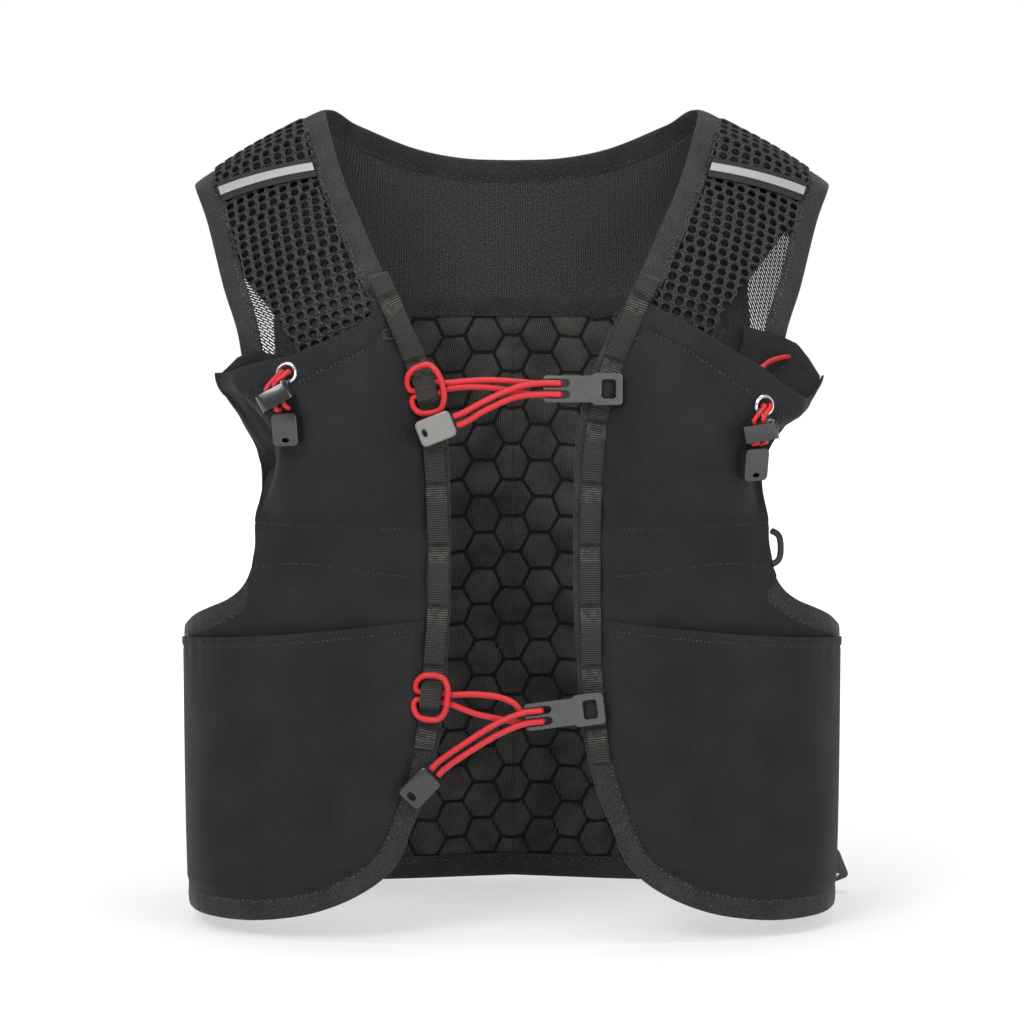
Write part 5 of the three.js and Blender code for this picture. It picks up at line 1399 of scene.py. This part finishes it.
WEBBING_FINISH = webbing_finish()
for side_name, side in SIDES:
    rows = CHAINS[side_name].column("z")
    z = np.linspace(rows[0], rows[-1], 520)
    nearest = np.clip(np.round((TACK_FIRST - z) / TACK_PITCH), 0, TACKS - 1)
    from_tack = z - (TACK_FIRST - nearest * TACK_PITCH)
    lift = WEBBING_BASE + webbing_lift(side_name, z) - 0.35 * np.exp(-(from_tack / 1.0) ** 2)
    across, rise = (WEBBING_PROFILE.column(key) for key in ("across", "rise"))
    points = webbing_point(side_name, side, z[:, None], across * WEBBING_WIDTH,
                           lift[:, None] + rise * WEBBING_WALL)
    faces = np.concatenate([ring_faces(len(z), len(across), False), end_caps(len(z), len(across))])
    run = run_of(points[:, 0])
    flat = np.stack(np.broadcast_arrays(run[:, None], across * WEBBING_WIDTH), axis=-1)
    marks = np.repeat(from_tack, len(across))
    points = points.reshape(-1, 3)
    mesh_piece(f"webbing_{side_name}", points, facing_out(points, faces), WEBBING_FINISH,
               [f"daisy_chain_{side_name}"], cloth=flat.reshape(-1, 2), marks=marks)

# Moulded fittings: sternum hooks, cord locks, and the ends that hold the
# cords. Their shapes are the frame's, with their edges rounded off.
WELD_REACH = 0.00001


def moulded_finish(slot, name, color, darker, roughness, **constants):
    finish = Finish(slot, name, color, roughness, **constants)
    place = finish.node("TexCoord", {}, output="Object")
    mottle = finish.noise(place, 2600.0, 2.0)
    finish.color(finish.mix(mottle.clear(0.35, 0.65), darker, color))
    finish.rough(mottle * 0.16 + (roughness - 0.08))
    finish.relief(mottle, 0.012)
    return finish


HOOK_FINISH = moulded_finish("buckle_plastic", "grey moulded nylon", tint(74, 75, 74), tint(56, 57, 56), 0.4,
                             Specular_IOR_Level=0.45)
LOCK_FINISH = moulded_finish("black_plastic", "black gloss nylon", tint(20, 20, 21), tint(13, 13, 14), 0.22,
                             Specular_IOR_Level=0.6, Coat_Weight=0.3)
END_FINISH = moulded_finish("cord_end_plastic", "moulded cord end", tint(27, 28, 27), tint(20, 21, 20), 0.28,
                            Specular_IOR_Level=0.6, Coat_Weight=0.25)
# Painted reflection: the upper cord end is the same black plastic as the others, coloured light grey to
# stand for the light its facets reflect.
REFLECTION_PAINTED_END_FINISH = moulded_finish("cord_end_plastic", "grey moulded cord end", tint(128, 127, 124),
                                tint(104, 103, 100), 0.35, Specular_IOR_Level=0.5)
EYELET_FINISH = moulded_finish("eyelet_metal", "bright eyelet", tint(225, 226, 228), tint(190, 192, 195),
                               0.2, Metallic=1.0)


def rounded(name, node, finish, width):
    """A copy of a moulded node with its edges rounded."""
    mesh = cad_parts[node].data.copy()
    mesh.name = name
    piece = bpy.data.objects.new(name, mesh)
    scene.collection.objects.link(piece)
    mesh.materials.clear()
    mesh.materials.append(finish.material)
    weld = piece.modifiers.new("weld", "WELD")
    weld.merge_threshold = WELD_REACH
    bevel = piece.modifiers.new("bevel", "BEVEL")
    bevel.width = width / 1000
    bevel.segments = 3
    bevel.limit_method = "ANGLE"
    bevel.angle_limit = math.radians(35)
    mesh.shade_smooth()
    mesh.set_sharp_from_angle(angle=math.radians(40))
    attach(piece, "root")
    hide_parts(node)
    return piece


for place_name in ("upper", "lower"):
    rounded(f"hook_{place_name}", f"sternum_hook_{place_name}", HOOK_FINISH, 0.45)
    # The upper end gets the painted reflection.
    finish = REFLECTION_PAINTED_END_FINISH if place_name == "upper" else END_FINISH
    rounded(f"moulded_end_{place_name}", f"cord_end_{place_name}", finish, 1.1)
for side_name, side in SIDES:
    rounded(f"lock_{side_name}", f"cord_lock_{side_name}", LOCK_FINISH, 0.9)
    finish = LOCK_FINISH if side < 0 else END_FINISH
    rounded(f"elastic_end_{side_name}", f"cinch_end_{side_name}", finish, 1.0)
    rounded(f"metal_eyelet_{side_name}", f"eyelet_{side_name}", EYELET_FINISH, 0.3)
rounded("side_moulded_end", "side_end_right", END_FINISH, 0.5)

# Cords: round braided elastic, red at the chest and black at the side.
CORD = 3.0
CINCH_CORD = 2.4
MOUTH_CORD_SIZE = 2.4
SIDE_LOOP_CORD = 3.2
HOOK_LENGTH = 38.5
HOOK_SLOT_LENGTH = 13.0
HOOK_SLOT_SPACING = 5.4
SLOT_LAYER = 1.9
HOOKS = {"upper": (34.3, 259.3, 7.8, 0.0), "lower": (25.6, 102.6, 7.8, 0.13)}


def cord_finish(slot, name, groove_shade, main, light):
    finish = Finish(slot, name, main, 0.38, Specular_IOR_Level=0.5)
    place, u, v = finish.flat()
    # Painted shade and highlight: the grooves between the braid's strands are coloured dark, and the crests
    # are lightened in patches as painted highlights.
    plait = (u * 1.0 + v * 1.6).wave(1.5) * (u - v * 1.6).wave(1.5)
    crest_with_highlight = finish.mix(finish.noise(place, 0.5), main, light)
    finish.color(finish.mix(plait.clear(0.02, 0.45), groove_shade, crest_with_highlight))
    finish.relief(plait, 0.22)
    return finish


RED_FINISH = cord_finish("red_cord", "red elastic cord", tint(158, 8, 18), tint(222, 26, 36),
                         tint(236, 46, 52))
BLACK_FINISH = cord_finish("black_cord", "black elastic cord", tint(10, 10, 11), tint(26, 26, 27),
                           tint(44, 44, 45))


def spread(points, count):
    """Points of the smooth line through given ones, as in the solids."""
    p = np.asarray(points, float)
    p = np.concatenate([[2 * p[0] - p[1]], p, [2 * p[-1] - p[-2]]])
    gaps = np.maximum(np.linalg.norm(np.diff(p, axis=0), axis=1) ** 0.5, 1e-4)
    at = np.linspace(0, len(points) - 1, count)
    i = np.clip(at.astype(int), 0, len(points) - 2)
    t = (at - i)[:, None]
    d0, d1, d2 = (gaps[i + k][:, None] for k in range(3))
    p0, p1, p2, p3 = (p[i + k] for k in range(4))
    m1 = ((p1 - p0) / d0 - (p2 - p0) / (d0 + d1) + (p2 - p1) / d1) * d1
    m2 = ((p2 - p1) / d1 - (p3 - p1) / (d1 + d2) + (p3 - p2) / d2) * d1
    return p1 + m1 * t + (-3 * p1 + 3 * p2 - 2 * m1 - m2) * t ** 2 + (2 * p1 - 2 * p2 + m1 + m2) * t ** 3


def tube(name, route, diameter, finish, carried, count=120, sides=16):
    path = spread(route, count)
    run = run_of(path)
    ahead = unit(np.gradient(path, axis=0))
    across = np.cross(ahead[0], (0.3, 0.1, 1.0))
    angle = np.arange(sides) * 2 * np.pi / sides
    rows = []
    for k, tangent in enumerate(ahead):
        across = unit(across - tangent * (across @ tangent))
        up = np.cross(tangent, across)
        end = min(run[k], run[-1] - run[k]) / (diameter / 2)
        radius = diameter / 2 * (1 if end > 0.5 else math.sqrt(1 - (1 - 2 * end) ** 2 * 0.5))
        rows.append(path[k] + radius * (np.cos(angle)[:, None] * across + np.sin(angle)[:, None] * up))
    faces = np.concatenate([ring_faces(count, sides, False), end_caps(count, sides)])
    points = np.concatenate(rows)
    flat = np.stack(np.broadcast_arrays(run[:, None], angle * diameter / 2), axis=-1)
    piece = mesh_piece(name, points, facing_out(points, faces), finish, carried, cloth=flat.reshape(-1, 2))
    return piece, (path - (0, 0, SHOULDER_HEIGHT)) / 1000, run[-1] / 1000


def frame_at(point, right, outward, turn=0.0):
    z = unit(np.asarray(outward, float))
    x = np.asarray(right, float)
    x = unit(x - z * (x @ z))
    y = np.cross(z, x)
    c, s = math.cos(turn), math.sin(turn)
    return np.asarray(point, float), np.stack([x * c + y * s, y * c - x * s, z])


def in_frame(frame_, x, y, z):
    return frame_[0] + np.array([x, y, z]) @ frame_[1]


def near_front(x, z, off):
    p = on_body(1, along_at(abs(x), z), z, off)
    return np.array([x, p[1], p[2]])


def hook_frame(place_name):
    x, z, off, turn = HOOKS[place_name]
    along = along_at(x, z)
    p = on_body(1, along, z, off)
    return frame_at(p, (1, 0, 0), p - on_body(1, along, z, 0.0), turn)


def slot_point(place_name, reach, slot, front):
    return in_frame(hook_frame(place_name), -HOOK_LENGTH / 2 + reach, slot * HOOK_SLOT_SPACING / 2, front)


def hitch_point(height, across, up, off):
    return webbing_point("left", -1, height + up, -across, off)


HITCH = [(-7, 2.4, 3.8), (-7.6, 6, 4.6), (-5, 9.8, 5.9), (0, 10.9, 6.3), (5.2, 9.8, 6.5), (7.8, 5.5, 7.2)]
UNDER = (2.1, 3.6)
STRANDS = {
    "upper": {
        1: [(-32, 262.6), (-22, 263.4), (-11, 263.8), (3, 263)],
        -1: [(-32, 259.4), (-22, 260.6), (-8, 260), (3, 257.8)],
    },
    "lower": {
        1: [(-32, 110.9), (-18, 111.2), (-6, 109.8), (1, 106.9)],
        -1: [(-32, 107), (-18, 101.8), (-6, 99.2), (1, 98)],
    },
}
STRAND_OFF = (4.2, 4.8, 5.4, 5.9)
CORD_END_LENGTH = 18.0
CORD_ENDS = {"upper": (-37, 240.3, 10.5, 0.38), "lower": (-45, 66, 9.5, 0.8)}
TAILS = {
    "upper": [[(2, 259.8, 11), (-14, 253, 11.5)], [(2, 255.3, 11), (-14, 248.5, 11.5)]],
    "lower": [[(-6, 98.3, 10.5), (-22, 88.6, 10.5)], [(-6, 92.6, 10.5), (-22, 83, 10.5)]],
}
TAIL_SPACING = 4.6


def strand(place_name, sign):
    height = HITCH_Z[place_name]
    route = [slot_point(place_name, reach, sign, -SLOT_LAYER) for reach in (HOOK_SLOT_LENGTH - 3.6, -1)]
    for (x, z), off in zip(reversed(STRANDS[place_name][sign]), reversed(STRAND_OFF)):
        route.append(near_front(x, z, off))
    for across in (6, 0):
        route.append(hitch_point(height, across, sign * UNDER[0], UNDER[1]))
    for across, up, off in HITCH:
        route.append(hitch_point(height, across, sign * up, off))
    return route


for place_name in ("upper", "lower"):
    bight = hitch_point(HITCH_Z[place_name], 8.3, 0, 7.6)
    route = strand(place_name, 1) + [bight] + strand(place_name, -1)[::-1]
    tube(f"red_sternum_{place_name}", route, CORD, RED_FINISH, [f"sternum_cord_{place_name}"], count=420)
    x, z, off, turn = CORD_ENDS[place_name]
    end = frame_at(near_front(x, z, off), (1, 0, 0), (0, -1, 0), turn)
    for i, letter in enumerate("ab"):
        sign = 1 - 2 * i
        route = [slot_point(place_name, reach, sign, SLOT_LAYER) for reach in (HOOK_SLOT_LENGTH - 4.4, -1)]
        route += [near_front(*p) for p in TAILS[place_name][i]]
        for reach in (6, 0.9):
            route.append(in_frame(end, CORD_END_LENGTH / 2 + reach, sign * TAIL_SPACING / 2, 0))
        piece, path, length = tube(f"red_tail_{place_name}_{letter}", route, CORD, RED_FINISH,
                                   [f"cord_tail_{place_name}_{letter}"])

CINCHES = {
    "left": ((109, 268), (112, 256.5, 0.5), (107, 242, 1.65)),
    "right": ((122, 252.5), (117, 241.5, 0.17), (114.5, 225.5, 1.5)),
}
EYELET_WALL = 1.8
LOCK_WALL = 8.0
LOCK_HEIGHT = 8.5
LOCK_SPACING = 4.4
CINCH_END_LENGTH = 16.0
CINCH_END_WALL = 6.0


def on_pocket(side_name, side, x, z, off):
    u, v = np.meshgrid(np.arange(51) / 50, np.arange(20, 61) / 60, indexing="ij")
    p = chest_point(side_name, 1, u, v)
    best = np.unravel_index(np.hypot(p[..., 0] - x, p[..., 2] - z).argmin(), u.shape)
    a, b, h = u[best], v[best], 0.01
    across = chest_point(side_name, side, a + h, b) - chest_point(side_name, side, a - h, b)
    up = chest_point(side_name, side, a, b + h) - chest_point(side_name, side, a, b - h)
    normal = unit(np.cross(across, up)) * side
    return np.array([side * x, chest_point(side_name, side, a, b)[1], z]) + normal * off, normal


for side_name, side in SIDES:
    eyelet, lock, end = CINCHES[side_name]
    ring, ring_normal = on_pocket(side_name, side, *eyelet, POCKET_WALL / 2 + 0.4 + EYELET_WALL / 2)
    lock_lift = POCKET_WALL / 2 + 3.4 + LOCK_WALL / 2
    lock_at, lock_normal = on_pocket(side_name, side, lock[0], lock[1], lock_lift)
    across = np.array([math.cos(lock[2]), 0, math.sin(lock[2])])
    down = unit(np.cross(across, lock_normal))
    lock_frame = frame_at(lock_at, across, down)
    end_lift = POCKET_WALL / 2 + 2.4 + CINCH_END_WALL / 2
    end_at, end_normal = on_pocket(side_name, side, end[0], end[1], end_lift)
    end_frame = frame_at(end_at, (1, 0, 0), end_normal, end[2])
    ring_frame = frame_at(ring, (1, 0, 0), ring_normal)
    half = (1 if down[2] > 0 else -1) * LOCK_HEIGHT / 2
    for i, letter in enumerate("ab"):
        sign = 2 * i - 1
        route = [in_frame(ring_frame, sign * 1.6, 0, out) for out in (0.2, 3)]
        for h in (1.3, 1, -1, -1.3):
            route.append(in_frame(lock_frame, sign * LOCK_SPACING / 2, 0, half * h))
        route.append(in_frame(end_frame, CINCH_END_LENGTH / 2 + 1.4, -sign * LOCK_SPACING / 2, 0))
        tube(f"red_cinch_{side_name}_{letter}", route, CINCH_CORD, RED_FINISH,
             [f"cinch_cord_{side_name}_{letter}"], count=60, sides=12)

MOUTH_CORD = [(116, 266, 9), (122, 271.5, 8.5), (129, 274, 7.8), (137, 274.5, 5.5)]
mouth_route = [on_body(1, along_at(x, z), z, off) for x, z, off in MOUTH_CORD]
tube("red_mouth_elastic", mouth_route, MOUTH_CORD_SIZE, RED_FINISH, ["mouth_cord_right"], count=40, sides=12)
SIDE_LOOP = [
    (127.5, -86.2, 190), (131.2, -85.5, 187.5), (132.4, -85, 181.5), (131.4, -85.5, 175.5),
    (128, -86.2, 173),
]
tube("black_side_loop", SIDE_LOOP, SIDE_LOOP_CORD, BLACK_FINISH, ["side_loop_right"], count=60, sides=12)
SIDE_END = frame_at((170.5, 58, 0), (1, 0, 0), (0, -1, 0), 1.95)
SIDE_CORD = [(159, 56, 36), (163.5, 57.5, 29), (165.5, 58, 19)]
side_route = SIDE_CORD + [in_frame(SIDE_END, CINCH_END_LENGTH / 2 + 0.9, 0, 0)]
tube("black_side_cord", side_route, CORD, BLACK_FINISH, ["side_cord_right"], count=60)

# Studio: a glowing white floor just under the hem, with painted shade where its glow fades near the vest,
# white surroundings and three soft lamps in front and above.
FLOOR_GAP = 0.001
FLOOR_REACH = 6.0
FLOOR_GLOW_AND_SHADE = {"From Min": 0.25, "From Max": 1.2, "To Min": 0.42, "To Max": 0.95}
SURROUND = 0.5
LAMPS = {
    "front": ((-1.1, -2.4, 1.5), 1.1, 48),
    "fill": ((1.5, -2.2, 0.5), 1.5, 22),
    "top": ((0.0, -0.2, 1.9), 1.4, 26),
}
floor_mesh = bpy.data.meshes.new("floor")
floor_z = cad_box[0][2] - FLOOR_GAP
corners = [(x * FLOOR_REACH, y * FLOOR_REACH, floor_z) for x, y in ((-1, -1), (1, -1), (1, 1), (-1, 1))]
floor_mesh.from_pydata(corners, [], [(0, 1, 2, 3)])
floor = bpy.data.objects.new("floor", floor_mesh)
scene.collection.objects.link(floor)
paper = bpy.data.materials.new("white paper")
paper.use_nodes = True
tree = paper.node_tree
surface = tree.nodes["Principled BSDF"]
surface.inputs["Base Color"].default_value = (0.5, 0.5, 0.5, 1)
surface.inputs["Roughness"].default_value = 0.9
surface.inputs["Specular IOR Level"].default_value = 0.1
surface.inputs["Emission Strength"].default_value = 1.0
spot = tree.nodes.new("ShaderNodeTexCoord")
far = tree.nodes.new("ShaderNodeVectorMath")
far.operation = "LENGTH"
# Painted shade: the floor's glow falls from 0.95 far away to 0.42 near the middle, darkening the floor round
# the vest.
glow_and_shade = tree.nodes.new("ShaderNodeMapRange")
glow_and_shade.interpolation_type = "SMOOTHSTEP"
for key, value in FLOOR_GLOW_AND_SHADE.items():
    glow_and_shade.inputs[key].default_value = value
tree.links.new(spot.outputs["Object"], far.inputs[0])
tree.links.new(far.outputs["Value"], glow_and_shade.inputs["Value"])
tree.links.new(glow_and_shade.outputs["Result"], surface.inputs["Emission Color"])
floor_mesh.materials.append(paper)

world = bpy.data.worlds.new("white studio")
world.use_nodes = True
sky = world.node_tree
sky.nodes["Background"].inputs["Color"].default_value = (1, 1, 1, 1)
seen = sky.nodes.new("ShaderNodeLightPath")
span = sky.nodes.new("ShaderNodeMapRange")
span.inputs["To Min"].default_value = SURROUND
sky.links.new(seen.outputs["Is Camera Ray"], span.inputs["Value"])
sky.links.new(span.outputs["Result"], sky.nodes["Background"].inputs["Strength"])
scene.world = world
for name, (place, size, power) in LAMPS.items():
    lamp = bpy.data.objects.new(name, bpy.data.lights.new(name, "AREA"))
    lamp.data.size = size
    lamp.data.energy = power
    lamp.location = place
    lamp.rotation_euler = (CAMERA_TARGET - Vector(place)).to_track_quat("-Z", "Y").to_euler()
    scene.collection.objects.link(lamp)
